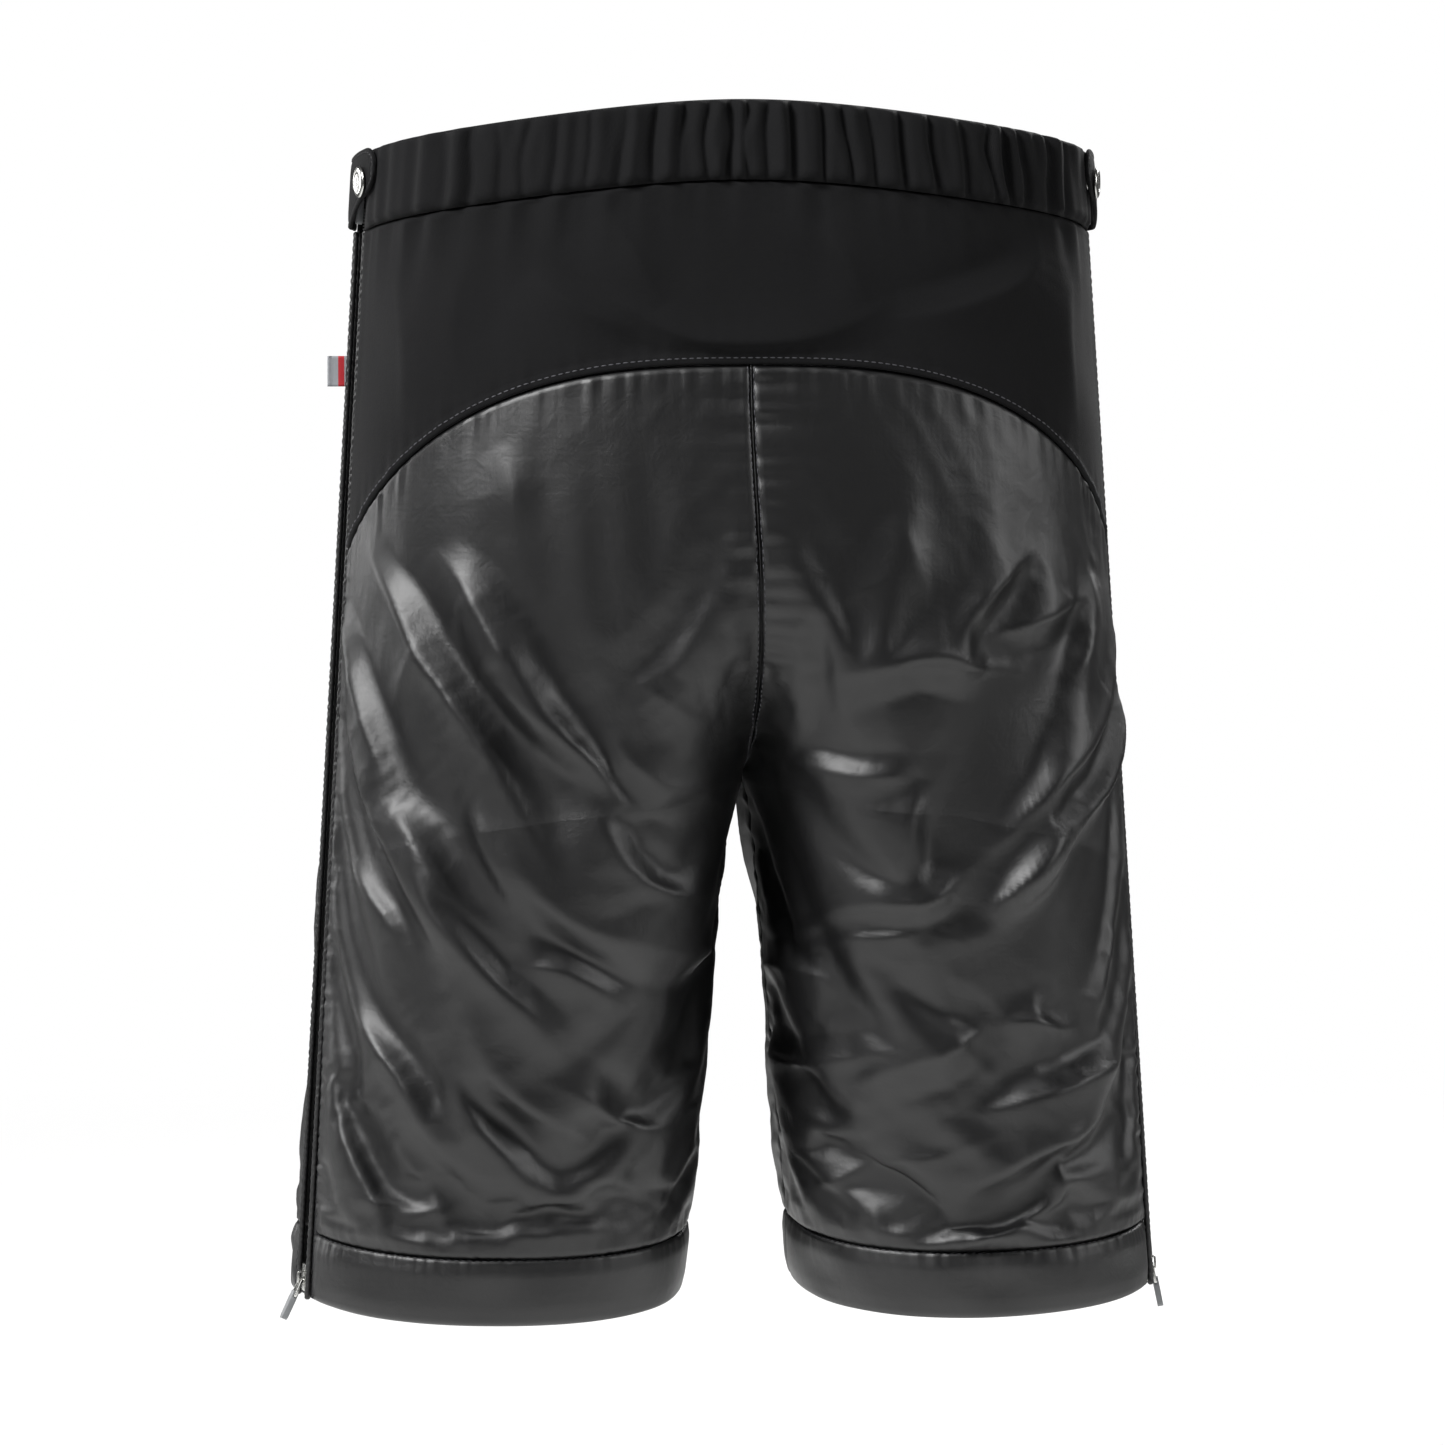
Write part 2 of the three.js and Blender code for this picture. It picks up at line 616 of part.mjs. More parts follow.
// A slider rides over both coils: two plates joined by a thin blade between the tapes,
// lips at the sides, and a bail on top. Its origin is its middle on the tape face.
function sliderGeometry() {
  const half = SLIDER_LENGTH / 2;
  const shoulder = SLIDER_WIDTH / 2;
  const waist = shoulder - SLIDER_TAPER;
  const nose = SLIDER_NOSE_CORNER;
  const corner = SLIDER_SHOULDER_CORNER;
  const side = -half + corner + 1;
  const plan = new THREE.Shape();
  plan.moveTo(-waist + nose, half);
  plan.lineTo(waist - nose, half);
  plan.quadraticCurveTo(waist, half, waist, half - nose);
  plan.lineTo(shoulder, side);
  plan.quadraticCurveTo(shoulder, -half, shoulder - corner, -half);
  plan.lineTo(-shoulder + corner, -half);
  plan.quadraticCurveTo(-shoulder, -half, -shoulder, side);
  plan.lineTo(-waist, half - nose);
  plan.quadraticCurveTo(-waist, half, -waist + nose, half);
  const plate = (top) =>
    extrude(plan, SLIDER_PLATE, 4).rotateX(Math.PI / 2).translate(0, top, 0);
  const under = -TAPE_THICKNESS - SLIDER_CLEARANCE;
  const blade = COIL_CENTRE_GAP - SLIDER_CLEARANCE;
  const start = 1 - half;
  const pieces = [
    plate(PLATE_TOP),
    plate(under),
    block(-blade, blade, under - WELD, PLATE_TOP - WELD, start, start + SLIDER_BLADE_LENGTH),
  ];
  const lipInside = COIL_WIDTH + SLIDER_CLEARANCE;
  for (const sign of [-1, 1]) {
    const [x0, x1] = [sign * lipInside, sign * (waist - 0.1)].sort((a, b) => a - b);
    pieces.push(block(x0, x1, SLIDER_CLEARANCE, PLATE_TOP - WELD, -half + 2, half - 1.6));
  }
  const bail = new THREE.Shape();
  const [length, height] = [BAIL_LENGTH / 2, BAIL_HEIGHT];
  bail.moveTo(-length, -WELD);
  bail.lineTo(length, -WELD);
  bail.lineTo(length, height - BAIL_CORNER);
  bail.quadraticCurveTo(length, height, length - BAIL_CORNER, height);
  bail.lineTo(-length + BAIL_CORNER, height);
  bail.quadraticCurveTo(-length, height, -length, height - BAIL_CORNER);
  const opening = roundedBox(
    0,
    (height - BAIL_WALL) / 2,
    BAIL_LENGTH - 2 * BAIL_WALL,
    height - BAIL_WALL,
    0.3,
  );
  bail.holes.push(new THREE.Path(opening.getPoints(3)));
  const arch = extrude(bail, BAIL_WIDTH, 4);
  arch.translate(0, 0, -BAIL_WIDTH / 2).rotateY(Math.PI / 2).translate(0, PLATE_TOP, 0);
  pieces.push(arch);
  return joined(pieces);
}

// The link hangs from its top bar, which is the hinge; the grip is moulded on its lower bar.
function linkGeometry() {
  const ring = roundedBox(0, LINK_BAR / 2 - LINK_LENGTH / 2, LINK_WIDTH, LINK_LENGTH, 1);
  const hole = roundedBox(
    0,
    LINK_BAR / 2 - LINK_LENGTH / 2,
    LINK_WIDTH - 2.2 * LINK_BAR,
    LINK_LENGTH - 2 * LINK_BAR,
    0.5,
  );
  ring.holes.push(new THREE.Path(hole.getPoints(3)));
  return extrude(ring, LINK_BAR, 3).translate(0, 0, -LINK_BAR / 2).rotateX(Math.PI / 2);
}

function gripGeometry() {
  const barTop = LINK_BAR / 2 - LINK_LENGTH + LINK_BAR;
  const neck = (LINK_WIDTH - 2.2 * LINK_BAR) / 2 - LINK_PLAY;
  const top = barTop + GRIP_NECK;
  const shoulder = LINK_BAR / 2 - LINK_LENGTH - LINK_PLAY;
  const bottom = top - GRIP_LENGTH;
  const half = GRIP_WIDTH / 2;
  const shape = new THREE.Shape();
  shape.moveTo(-neck, top);
  shape.lineTo(-neck, shoulder);
  shape.lineTo(-half, shoulder - 0.6);
  shape.lineTo(-half + 0.3, bottom + 2);
  shape.quadraticCurveTo(-half + 0.4, bottom, 0, bottom);
  shape.quadraticCurveTo(half - 0.4, bottom, half - 0.3, bottom + 2);
  shape.lineTo(half, shoulder - 0.6);
  shape.lineTo(neck, shoulder);
  shape.lineTo(neck, top);
  const body = extrude(shape, GRIP_THICKNESS, 5);
  body.translate(0, 0, -GRIP_THICKNESS / 2).rotateX(Math.PI / 2);
  const side = LINK_WIDTH / 2 + LINK_PLAY;
  const bar = LINK_BAR / 2 + LINK_PLAY;
  const slot = block(-side, side, -bar, bar, shoulder, barTop + LINK_PLAY);
  return geometryOf(solidOf(body).subtract(solidOf(slot)));
}

function addSlider(name, frame, level, shouldersDown, pullAngle) {
  const slider = new THREE.Group();
  slider.position.z = level;
  frame.add(slider);
  const body = sliderGeometry();
  if (!shouldersDown) body.rotateY(Math.PI);
  addMesh(`${name}_body`, body, "nickel", slider);
  const pull = new THREE.Group();
  pull.position.set(0, HINGE_HEIGHT, -0.8);
  pull.rotation.x = degToRad(pullAngle);
  slider.add(pull);
  addMesh(`${name}_link`, linkGeometry(), "nickel", pull);
  addMesh(`${name}_grip`, gripGeometry(), "grip", pull);
}

// A snap fastener's parts stand along the outward normal at one point of the waistband.
function addSnap(hand, side) {
  const z = waistEdge(0.5) - SNAP_DROP - TAB_TIP_HEIGHT / 2;
  const turn = turnFromZip(SNAP_PLACE, z);
  const out = outwards(turn, z);
  const place = new THREE.Group();
  place.position.copy(skin(side, turn, z, 0));
  place.quaternion.setFromUnitVectors(
    new THREE.Vector3(0, 1, 0),
    new THREE.Vector3(side * out.x, out.y, 0),
  );
  shorts.add(place);
  const turned = (points, segments = 24) =>
    new THREE.LatheGeometry(points.map(([r, h]) => new THREE.Vector2(r, h)), segments);
  const capBase = TAB_LIFT + TAB_THICKNESS + CAP_PLAY + LEAN * SNAP_RADIUS;
  const capTop = capBase + SNAP_HEIGHT;
  const cap = turned([
    [0, capBase],
    [SNAP_RADIUS, capBase],
    [SNAP_RADIUS, capBase + 0.35 * SNAP_HEIGHT],
    [0.88 * SNAP_RADIUS, capBase + 0.8 * SNAP_HEIGHT],
    [0.6 * SNAP_RADIUS, capTop],
    [0.5 * SNAP_RADIUS, capTop - 0.3],
    [0, capTop - 0.3],
  ]);
  addMesh(`snap_cap_${hand}`, cap, "nickel", place);
  const plateRise = LEAN * SNAP_FLANGE;
  const studBase = PLATE_PLAY + plateRise;
  const studPlate = studBase + SNAP_PLATE;
  const ringTop = TAB_LIFT - PLATE_PLAY - plateRise - 0.1;
  const knobTop = ringTop - 0.2;
  const stud = turned([
    [0, studBase],
    [SNAP_FLANGE, studBase],
    [SNAP_FLANGE, studPlate],
    [STUD_RADIUS, studPlate],
    [STUD_RADIUS, knobTop],
    [0, knobTop],
  ]);
  addMesh(`snap_stud_${hand}`, stud, "nickel", place);
  const ringInside = STUD_RADIUS + SNAP_PLAY;
  const ringBase = studPlate + 0.3;
  const socket = turned([
    [ringInside, ringBase],
    [SNAP_FLANGE, ringBase],
    [SNAP_FLANGE, ringTop],
    [ringInside, ringTop],
    [ringInside, ringBase],
  ]);
  addMesh(`snap_socket_${hand}`, socket, "nickel", place);
  const washerTop = -BAND_THICKNESS - WASHER_PLAY - plateRise;
  const washer = turned([
    [0, washerTop - WASHER_THICKNESS],
    [SNAP_FLANGE, washerTop - WASHER_THICKNESS],
    [SNAP_FLANGE, washerTop],
    [0, washerTop],
  ]);
  addMesh(`snap_washer_${hand}`, washer, "nickel", place);
}

// The tab starts at its fold over the front waistband and laps back across the zip.
function addTab(hand, side) {
  const places = [0, 0.1, 0.22, 0.36, 0.5, 0.62, 0.74, 0.84, 0.91, 0.96, 0.985];
  const sectionAt = (t) => {
    const place = lerp(TAB_ROOT, TAB_TIP, t);
    const top = waistEdge(turnFromZip(place, waistEdge(0.5))) - TAB_DROP;
    const height = lerp(BAND_HEIGHT - TAB_ROOT_MARGIN, TAB_TIP_HEIGHT, smoothstep(t, 0.1, 0.9));
    const pastCorner = Math.max(0, place - (TAB_TIP - TAB_CORNER)) / TAB_CORNER;
    const trim = TAB_CORNER * (1 - Math.sqrt(1 - pastCorner * pastCorner));
    const lift = lerp(TAB_CLEARANCE, TAB_LIFT, smoothstep(place, TAB_ROOT, TAB_ROOT + TAB_FOLD));
    const levels = steps(top - trim, top - height + trim, 2);
    return layerSection(levels, -lift - TAB_THICKNESS, -lift);
  };
  const rings = places.map((t) =>
    sectionAt(t).map(({ x: depth, y: z }) =>
      skin(side, turnFromZip(lerp(TAB_ROOT, TAB_TIP, t), z), z, depth),
    ),
  );
  addMesh(`waist_tab_${hand}`, loft(rings), "softshell");
}

function addTag() {
  const place = -ZIP_MARGIN - TAG_PLACE;
  const turn = turnFromZip(place, TAG_LEVEL);
  const [low, high] = [TAG_LEVEL - TAG_HEIGHT / 2, TAG_LEVEL + TAG_HEIGHT / 2];
  const start = TAG_PLAY + (LEAN * TAG_HEIGHT) / 2;
  const ringAt = (shift) =>
    [
      [-start, high],
      [-start, low],
      [-TAG_LENGTH, low],
      [-TAG_LENGTH, high],
    ].map(([depth, z]) => skin(1, turn, TAG_LEVEL, depth).setZ(z).add(shift));
  const out = outwards(turn, TAG_LEVEL);
  const along = new THREE.Vector3(-out.y, out.x, 0).multiplyScalar(TAG_THICKNESS / 2);
  addMesh("side_tag", loft([ringAt(along.clone().negate()), ringAt(along)]), "tag");
}

addPanels();
addYokeAndBands();
for (const [hand, side] of [["left", 1], ["right", -1]]) {
  const frame = zipFrame(side);
  addZip(hand, frame);
  const lowest = STOP_LENGTH + LAYER_GAP + SLIDER_LENGTH / 2;
  addSlider(`bottom_slider_${hand}`, frame, lowest, true, PULL_REST[hand]);
  const highest = zipLength(frame) - SLIDER_LENGTH / 2 - 1;
  addSlider(`top_slider_${hand}`, frame, highest, false, 0);
  addTab(hand, side);
  addSnap(hand, side);
}
addTag();

export default shorts;
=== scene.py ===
import math

import bmesh
import bpy
import numpy as np
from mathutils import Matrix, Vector


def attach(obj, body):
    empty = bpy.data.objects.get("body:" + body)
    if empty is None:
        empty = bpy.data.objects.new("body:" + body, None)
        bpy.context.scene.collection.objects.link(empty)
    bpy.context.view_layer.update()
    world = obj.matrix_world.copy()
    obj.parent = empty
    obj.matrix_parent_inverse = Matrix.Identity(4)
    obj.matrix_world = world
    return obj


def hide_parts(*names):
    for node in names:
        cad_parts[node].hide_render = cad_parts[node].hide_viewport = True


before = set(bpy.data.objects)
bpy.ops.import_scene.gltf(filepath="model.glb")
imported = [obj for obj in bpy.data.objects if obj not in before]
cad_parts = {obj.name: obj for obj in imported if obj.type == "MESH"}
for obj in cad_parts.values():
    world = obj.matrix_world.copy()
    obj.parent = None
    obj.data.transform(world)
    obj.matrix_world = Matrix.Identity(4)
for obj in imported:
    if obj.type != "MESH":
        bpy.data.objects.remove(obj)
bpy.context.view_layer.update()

mm = 0.001
hands = {"left": 1, "right": -1}  # the wearer's left is +X
print("frame loaded")

# The garment's sizes, in millimetres, as the frame has them.
garment = {
    "rise": 300,
    "inseam": 241,
    "waistDrop": 44,
    "bandHeight": 35,
    "bandWall": 1.1,
    "bandThickness": 4.5,
    "hemHeight": 30,
    "hemRise": 6,
    "waistBackDepth": 102,
    "hipBackDepth": 131,
    "waistFrontDepth": 93,
    "hipFrontDepth": 107,
    "thighDepth": 110,
    "thighCentre": 6,
    "hemDepth": 86,
    "hemCentre": 2,
    "pelvisPower": 2.4,  # 2 is an ellipse, more is squarer
    "legPower": 2.3,
    "hipLine": -170,
    "thighLine": -400,
    "innerCurve": 4.2,
    "innerSpread": 0.09,
    "crotchDrift": -6,
    "driftReach": 120,
    "seamGap": 0.4,
    "yokeThickness": 1.2,
    "yokeLength": 80,
    "archDrop": 100,
    "archPower": 2.8,
    "zipWaist": (161, 11),
    "zipHem": (194, 32),
    "zipFacing": 10,
    "zipSink": 3.5,
    "zipMargin": 11.4,
    "zipTopSpace": 5,
    "liningDepth": 6.2,
    "liningThickness": 0.6,
}
crotchZ = -garment["rise"]
hemZ = -(garment["rise"] + garment["inseam"])


def lerp(a, b, t):
    return a + (b - a) * t


def smoothstep(x, low, high):
    t = np.clip((x - low) / (high - low), 0, 1)
    return t * t * (3 - 2 * t)


def rollIn(distance, reach):  # how far a rounded edge falls: 1 at the edge, 0 from reach on
    return 1 - np.sqrt(1 - np.clip(1 - distance / reach, 0, 1) ** 2)


def profile(rows):  # a smooth curve through a few (height, value) rows, highest first
    heights = np.array([row[0] for row in rows], float)
    values = np.array([row[1] for row in rows], float)
    above = np.maximum(np.arange(len(rows)) - 1, 0)
    below = np.minimum(np.arange(len(rows)) + 1, len(rows) - 1)
    slope = (values[below] - values[above]) / (heights[below] - heights[above])

    def valueAt(z):
        z = np.asarray(z, float)
        i = (z[..., None] < heights[1:-1]).sum(-1)
        step = heights[i + 1] - heights[i]
        t = np.clip((z - heights[i]) / step, 0, 1)
        bend = slope[i] * t * (1 - t) ** 2 - slope[i + 1] * t * t * (1 - t)
        return lerp(values[i], values[i + 1], t * t * (3 - 2 * t)) + step * bend

    return valueAt


g = garment
pelvisBack = profile([
    (0, g["waistBackDepth"]),
    (-0.4 * g["rise"], lerp(g["waistBackDepth"], g["hipBackDepth"], 0.62)),
    (-0.76 * g["rise"], g["hipBackDepth"]),
    (-g["rise"], g["hipBackDepth"] - 6),
])
pelvisFront = profile([
    (0, g["waistFrontDepth"]),
    (-0.5 * g["rise"], lerp(g["waistFrontDepth"], g["hipFrontDepth"], 0.7)),
    (-g["rise"], g["hipFrontDepth"]),
])
legHalfDepth = profile([
    (g["hipLine"], g["thighDepth"] + 3),
    (crotchZ, g["thighDepth"]),
    (0.5 * (crotchZ + hemZ), lerp(g["thighDepth"], g["hemDepth"], 0.55)),
    (hemZ, g["hemDepth"]),
])


def zipAt(z):
    t = z / hemZ
    return lerp(g["zipWaist"][0], g["zipHem"][0], t), lerp(g["zipWaist"][1], g["zipHem"][1], t)


def innerLine(z):  # half the gap between the legs, and half a seam above the crotch
    below = np.maximum(0, crotchZ - z)
    parting = g["innerCurve"] * (1 - np.exp(-below / 14))
    return g["seamGap"] / 2 + parting + g["innerSpread"] * below


def legShare(turn, z):
    t = np.clip((g["hipLine"] - z) / (g["hipLine"] - crotchZ), 0, 1)
    outside = 1 - smoothstep(z, g["thighLine"], g["hipLine"] - 30)
    return lerp(outside, 1 - np.sqrt(1 - t * t), (2 * turn - 1) ** 4)


def superellipse(angle, halfWidth, halfDepth, power):
    across = (np.abs(np.cos(angle)) / halfWidth) ** power
    along = (np.abs(np.sin(angle)) / halfDepth) ** power
    r = (across + along) ** (-1 / power)
    return np.stack([r * np.cos(angle), r * np.sin(angle)], -1)


def sweep(turn, first, atZip):
    return np.where(
        turn < 0.5, lerp(first, atZip, 2 * turn), lerp(atZip, -first, 2 * turn - 1)
    )


def outline(turn, z):
    # The left half of the level outline: turn runs from 0 at the centre back through
    # 0.5 at the zip to 1 at the centre front, and in the legs from inseam to inseam.
    turn, z = np.broadcast_arrays(np.asarray(turn, float), np.asarray(z, float))
    zipX, zipY = zipAt(z)
    power = g["pelvisPower"]
    back = pelvisBack(z)
    halfWidth = zipX / (1 - (zipY / back) ** power) ** (1 / power)
    angle = sweep(turn, math.pi / 2, np.arctan2(zipY, zipX))
    pelvis = superellipse(angle, halfWidth, np.where(angle > 0, back, pelvisFront(z)), power)

    power = g["legPower"]
    down = np.clip((z - crotchZ) / (hemZ - crotchZ), 0, 1)
    depth = legHalfDepth(z)
    centreY = lerp(g["thighCentre"], g["hemCentre"], down)
    inner = innerLine(z)
    reach = (1 - ((zipY - centreY) / depth) ** power) ** (1 / power)
    legHalf = (zipX - inner) / (1 + reach)
    angle = sweep(turn, math.pi, np.arctan2(zipY - centreY, zipX - inner - legHalf))
    leg = superellipse(angle, legHalf, depth, power)
    leg = leg + np.stack([inner + legHalf, centreY], -1)
    return lerp(pelvis, leg, legShare(turn, z)[..., None])


def outwards(turn, z):
    ahead = outline(np.minimum(turn + 1e-3, 1), z)
    tangent = ahead - outline(np.maximum(turn - 1e-3, 0), z)
    tangent /= np.linalg.norm(tangent, axis=-1, keepdims=True)
    return np.stack([-tangent[..., 1], tangent[..., 0]], -1)


def skin(side, turn, z, depth):  # depth millimetres inside the outer surface
    turn, z, depth, side = np.broadcast_arrays(
        np.asarray(turn, float), np.asarray(z, float), np.asarray(depth, float), side
    )
    p = outline(turn, z) - outwards(turn, z) * depth[..., None]
    lean = np.maximum(0, 1 - (p[..., 0] / g["driftReach"]) ** 2)
    drift = g["crotchDrift"] * smoothstep(z, -0.9 * g["rise"], -0.4 * g["rise"])
    x = side * p[..., 0] + (g["crotchDrift"] - drift) * lean
    return np.stack([x, p[..., 1], z], -1)


def turnFromZip(arc, z):  # arc is positive towards the back
    arc, z = np.broadcast_arrays(np.asarray(arc, float), np.asarray(z, float))
    step = np.where(arc > 0, -1e-3, 1e-3)
    near = outline(0.5 + step, z) - outline(0.5 + 0 * z, z)
    return 0.5 - arc / (np.linalg.norm(near, axis=-1) / 1e-3)


def panelTurn(face, column, z, seamGap=0.0):  # column 0 at the seam, 1 beside the zip
    start, step = (0.0, 1e-3) if face == "back" else (1.0, -1e-3)
    near = outline(start + step + 0 * z, z) - outline(start + 0 * z, z)
    speed = np.linalg.norm(near, axis=-1) / 1e-3
    seam = start + math.copysign(1, step) * (seamGap / 2 / speed)
    margin = g["zipMargin"] if face == "back" else -g["zipMargin"]
    return lerp(seam, turnFromZip(margin, z), column)


def waistEdge(turn):
    return -g["waistDrop"] * (0.5 - 0.5 * np.cos(np.pi * turn))


def bandTop(face, column):
    return waistEdge(column / 2 if face == "back" else 1 - column / 2)


def bandBottom(face, column):
    return bandTop(face, column) - g["bandHeight"]


def hemBottom(column):
    return hemZ + g["hemRise"] * (1 - np.sin(np.pi * column))


def hemSeam(column):
    return hemBottom(column) + g["hemHeight"]


def archSeam(column):
    top = -g["bandHeight"] - g["yokeLength"]
    middle = top - g["archDrop"] / 3 + 0 * column
    across = outline(panelTurn("back", column, middle), middle)[..., 0] / zipAt(middle)[0]
    return top - g["archDrop"] * (1 - np.sqrt(1 - np.minimum(across, 1) ** g["archPower"]))


def halfColumns(count):
    return 1 - (1 - np.linspace(0, 1, count)) ** 1.3


# Meshes and their material


def addObject(name, data):
    thing = bpy.data.objects.new(name, data)
    bpy.context.scene.collection.objects.link(thing)
    return thing


def newPiece(name, points, faces, material, uv=None, smooth=True):
    mesh = bpy.data.meshes.new(name)
    mesh.from_pydata((np.asarray(points) * mm).tolist(), [], faces)
    if uv is not None:
        layer = mesh.uv_layers.new(name="fabric")
        corners = np.zeros(len(mesh.loops), np.int32)
        mesh.loops.foreach_get("vertex_index", corners)
        layer.data.foreach_set("uv", (np.asarray(uv)[corners] * mm).ravel())
    mesh.polygons.foreach_set("use_smooth", [smooth] * len(mesh.polygons))
    mesh.materials.append(material)
    mesh.validate()
    return addObject(name, mesh)


def shapedMesh(draft, name):  # the mesh that a draft's modifiers make; the draft is removed
    shaped = draft.evaluated_get(bpy.context.evaluated_depsgraph_get())
    made = bpy.data.meshes.new_from_object(shaped)
    made.name = name
    bpy.data.objects.remove(draft)
    return made


def gridFaces(rows, columns, start=0, turned=False):
    faces = []
    for i in range(rows - 1):
        for j in range(columns - 1):
            a = start + i * columns + j
            face = (a, a + 1, a + columns + 1, a + columns)
            faces.append(face[::-1] if turned else face)
    return faces


def facesTurn(outer, inner):  # whether a grid's faces have to be turned round to point out
    middle = [n // 2 for n in outer.shape[:2]]
    a = outer[middle[0], middle[1]]
    edge = np.cross(
        outer[middle[0], middle[1] + 1] - a, outer[middle[0] + 1, middle[1]] - a
    )
    return float(edge @ (a - inner[middle[0], middle[1]])) < 0


def closedGrid(name, outer, inner, material, uv):
    # Two faces of a layer, joined round their edge.
    rows, columns = outer.shape[:2]
    count = rows * columns
    turned = facesTurn(outer, inner)
    faces = gridFaces(rows, columns, 0, turned) + gridFaces(rows, columns, count, not turned)
    rim = (
        [j for j in range(columns)]
        + [i * columns + columns - 1 for i in range(1, rows)]
        + [(rows - 1) * columns + j for j in range(columns - 2, -1, -1)]
        + [i * columns for i in range(rows - 2, 0, -1)]
    )
    for a, b in zip(rim, rim[1:] + rim[:1]):
        face = (b, a, a + count, b + count)
        faces.append(face[::-1] if turned else face)
    points = np.concatenate([outer.reshape(-1, 3), inner.reshape(-1, 3)])
    uvs = np.concatenate([uv.reshape(-1, 2), uv.reshape(-1, 2)])
    return newPiece(name, points, faces, material, uvs)


def tubeMesh(name, rings, material, uv=None, smooth=True):
    # A closed solid through rings that all follow one closed section.
    count, around = rings.shape[:2]
    faces = []
    for i in range(count - 1):
        for j in range(around):
            a, b = i * around + j, i * around + (j + 1) % around
            faces.append((a, b, b + around, a + around))
    points = rings.reshape(-1, 3)
    ends = np.stack([rings[0].mean(0), rings[-1].mean(0)])
    first, last = count * around, count * around + 1
    for j in range(around):
        k = (j + 1) % around
        faces.append((k, j, first))
        faces.append(((count - 1) * around + j, (count - 1) * around + k, last))
    allPoints = np.concatenate([points, ends])
    corner = allPoints[faces[0][0]]
    middle = rings[:2].reshape(-1, 3).mean(0)
    across = np.cross(allPoints[faces[0][1]] - corner, allPoints[faces[0][3]] - corner)
    if across @ (corner - middle) < 0:
        faces = [face[::-1] for face in faces]
    if uv is not None:
        uv = np.concatenate([uv.reshape(-1, 2), uv[0, :1], uv[-1, :1]])
    return newPiece(name, allPoints, faces, material, uv, smooth)


def arcLengths(grid, axis):
    steps = np.linalg.norm(np.diff(grid, axis=axis), axis=-1)
    pad = np.zeros_like(np.take(steps, [0], axis))
    return np.cumsum(np.concatenate([pad, steps], axis), axis)


def linear(hexColour):  # sRGB hex to linear RGBA
    levels = [int(hexColour[i : i + 2], 16) / 255 for i in (1, 3, 5)]
    return (*[c / 12.92 if c <= 0.04045 else ((c + 0.055) / 1.055) ** 2.4 for c in levels], 1)


def addNode(tree, kind, inputs=None, **settings):  # a node with its settings and links
    node = tree.nodes.new(kind)
    for name, value in settings.items():
        setattr(node, name, value)
    for name, value in (inputs or {}).items():
        if isinstance(value, bpy.types.NodeSocket):
            tree.links.new(value, node.inputs[name])
        else:
            node.inputs[name].default_value = value
    return node


def colourBetween(tree, amount, low, high):
    inputs = {0: amount, 6: linear(low), 7: linear(high)}
    return addNode(tree, "ShaderNodeMix", inputs, data_type="RGBA").outputs[2]


def rangeOf(tree, value, low, high):
    return addNode(tree, "ShaderNodeMapRange", {0: value, 3: low, 4: high}).outputs[0]


def maths(tree, operation, a, b):
    return addNode(tree, "ShaderNodeMath", {0: a, 1: b}, operation=operation).outputs[0]


def noise(tree, vector, scale, detail, **more):
    inputs = {"Vector": vector, "Scale": scale, "Detail": detail, **more}
    return addNode(tree, "ShaderNodeTexNoise", inputs).outputs["Fac"]


def weave(tree, vector, across, along):  # two crossing sets of threads, 0 to 1
    threads = []
    for direction, pitch in (("X", across), ("Y", along)):
        threads.append(addNode(
            tree,
            "ShaderNodeTexWave",
            {"Vector": vector, "Scale": math.pi / (10 * pitch * mm) * 2, "Distortion": 0.4,
             "Detail": 1.0, "Detail Scale": 2.0},
            bands_direction=direction,
        ).outputs["Fac"])
    return maths(tree, "MULTIPLY", *threads)


def newMaterial(name, baseInputs, pattern):
    # pattern takes the tree and the two sets of coordinates, and returns the colour, the
    # roughness and the height maps laid over each other: height, strength, depth in mm.
    material = bpy.data.materials.new(name)
    material.use_nodes = True
    tree = material.node_tree
    tree.nodes.clear()
    shader = addNode(tree, "ShaderNodeBsdfPrincipled", baseInputs)
    addNode(tree, "ShaderNodeOutputMaterial", {"Surface": shader.outputs[0]})
    coordinates = addNode(tree, "ShaderNodeTexCoord").outputs
    colour, roughness, layers = pattern(tree, coordinates["UV"], coordinates["Object"])
    tree.links.new(colour, shader.inputs["Base Color"])
    tree.links.new(roughness, shader.inputs["Roughness"])
    normal = None
    for height, strength, depth in layers:
        inputs = {"Height": height, "Strength": strength, "Distance": depth * mm}
        if normal is not None:
            inputs["Normal"] = normal
        normal = addNode(tree, "ShaderNodeBump", inputs).outputs[0]
    tree.links.new(normal, shader.inputs["Normal"])
    return material


def nylonTaffeta(tree, uv, place):
    # Black nylon taffeta with a calendered face: a dark cloth that shines where it bends.
    # Threads are 0.2 mm apart; drawn at 0.9 mm so that they show.
    threads = weave(tree, uv, 0.9, 0.9)
    grid = weave(tree, uv, 5.0, 5.0)
    cloudy = noise(tree, place, 14, 4.0)
    crinkle = noise(tree, place, 90, 3.0, Roughness=0.6, Distortion=0.6)
    mixed = maths(tree, "MULTIPLY", threads, cloudy)
    return (
        colourBetween(tree, mixed, "#060607", "#121214"),
        rangeOf(tree, cloudy, 0.37, 0.48),
        [(crinkle, 0.32, 0.8), (grid, 0.15, 0.06), (threads, 0.3, 0.12)],
    )


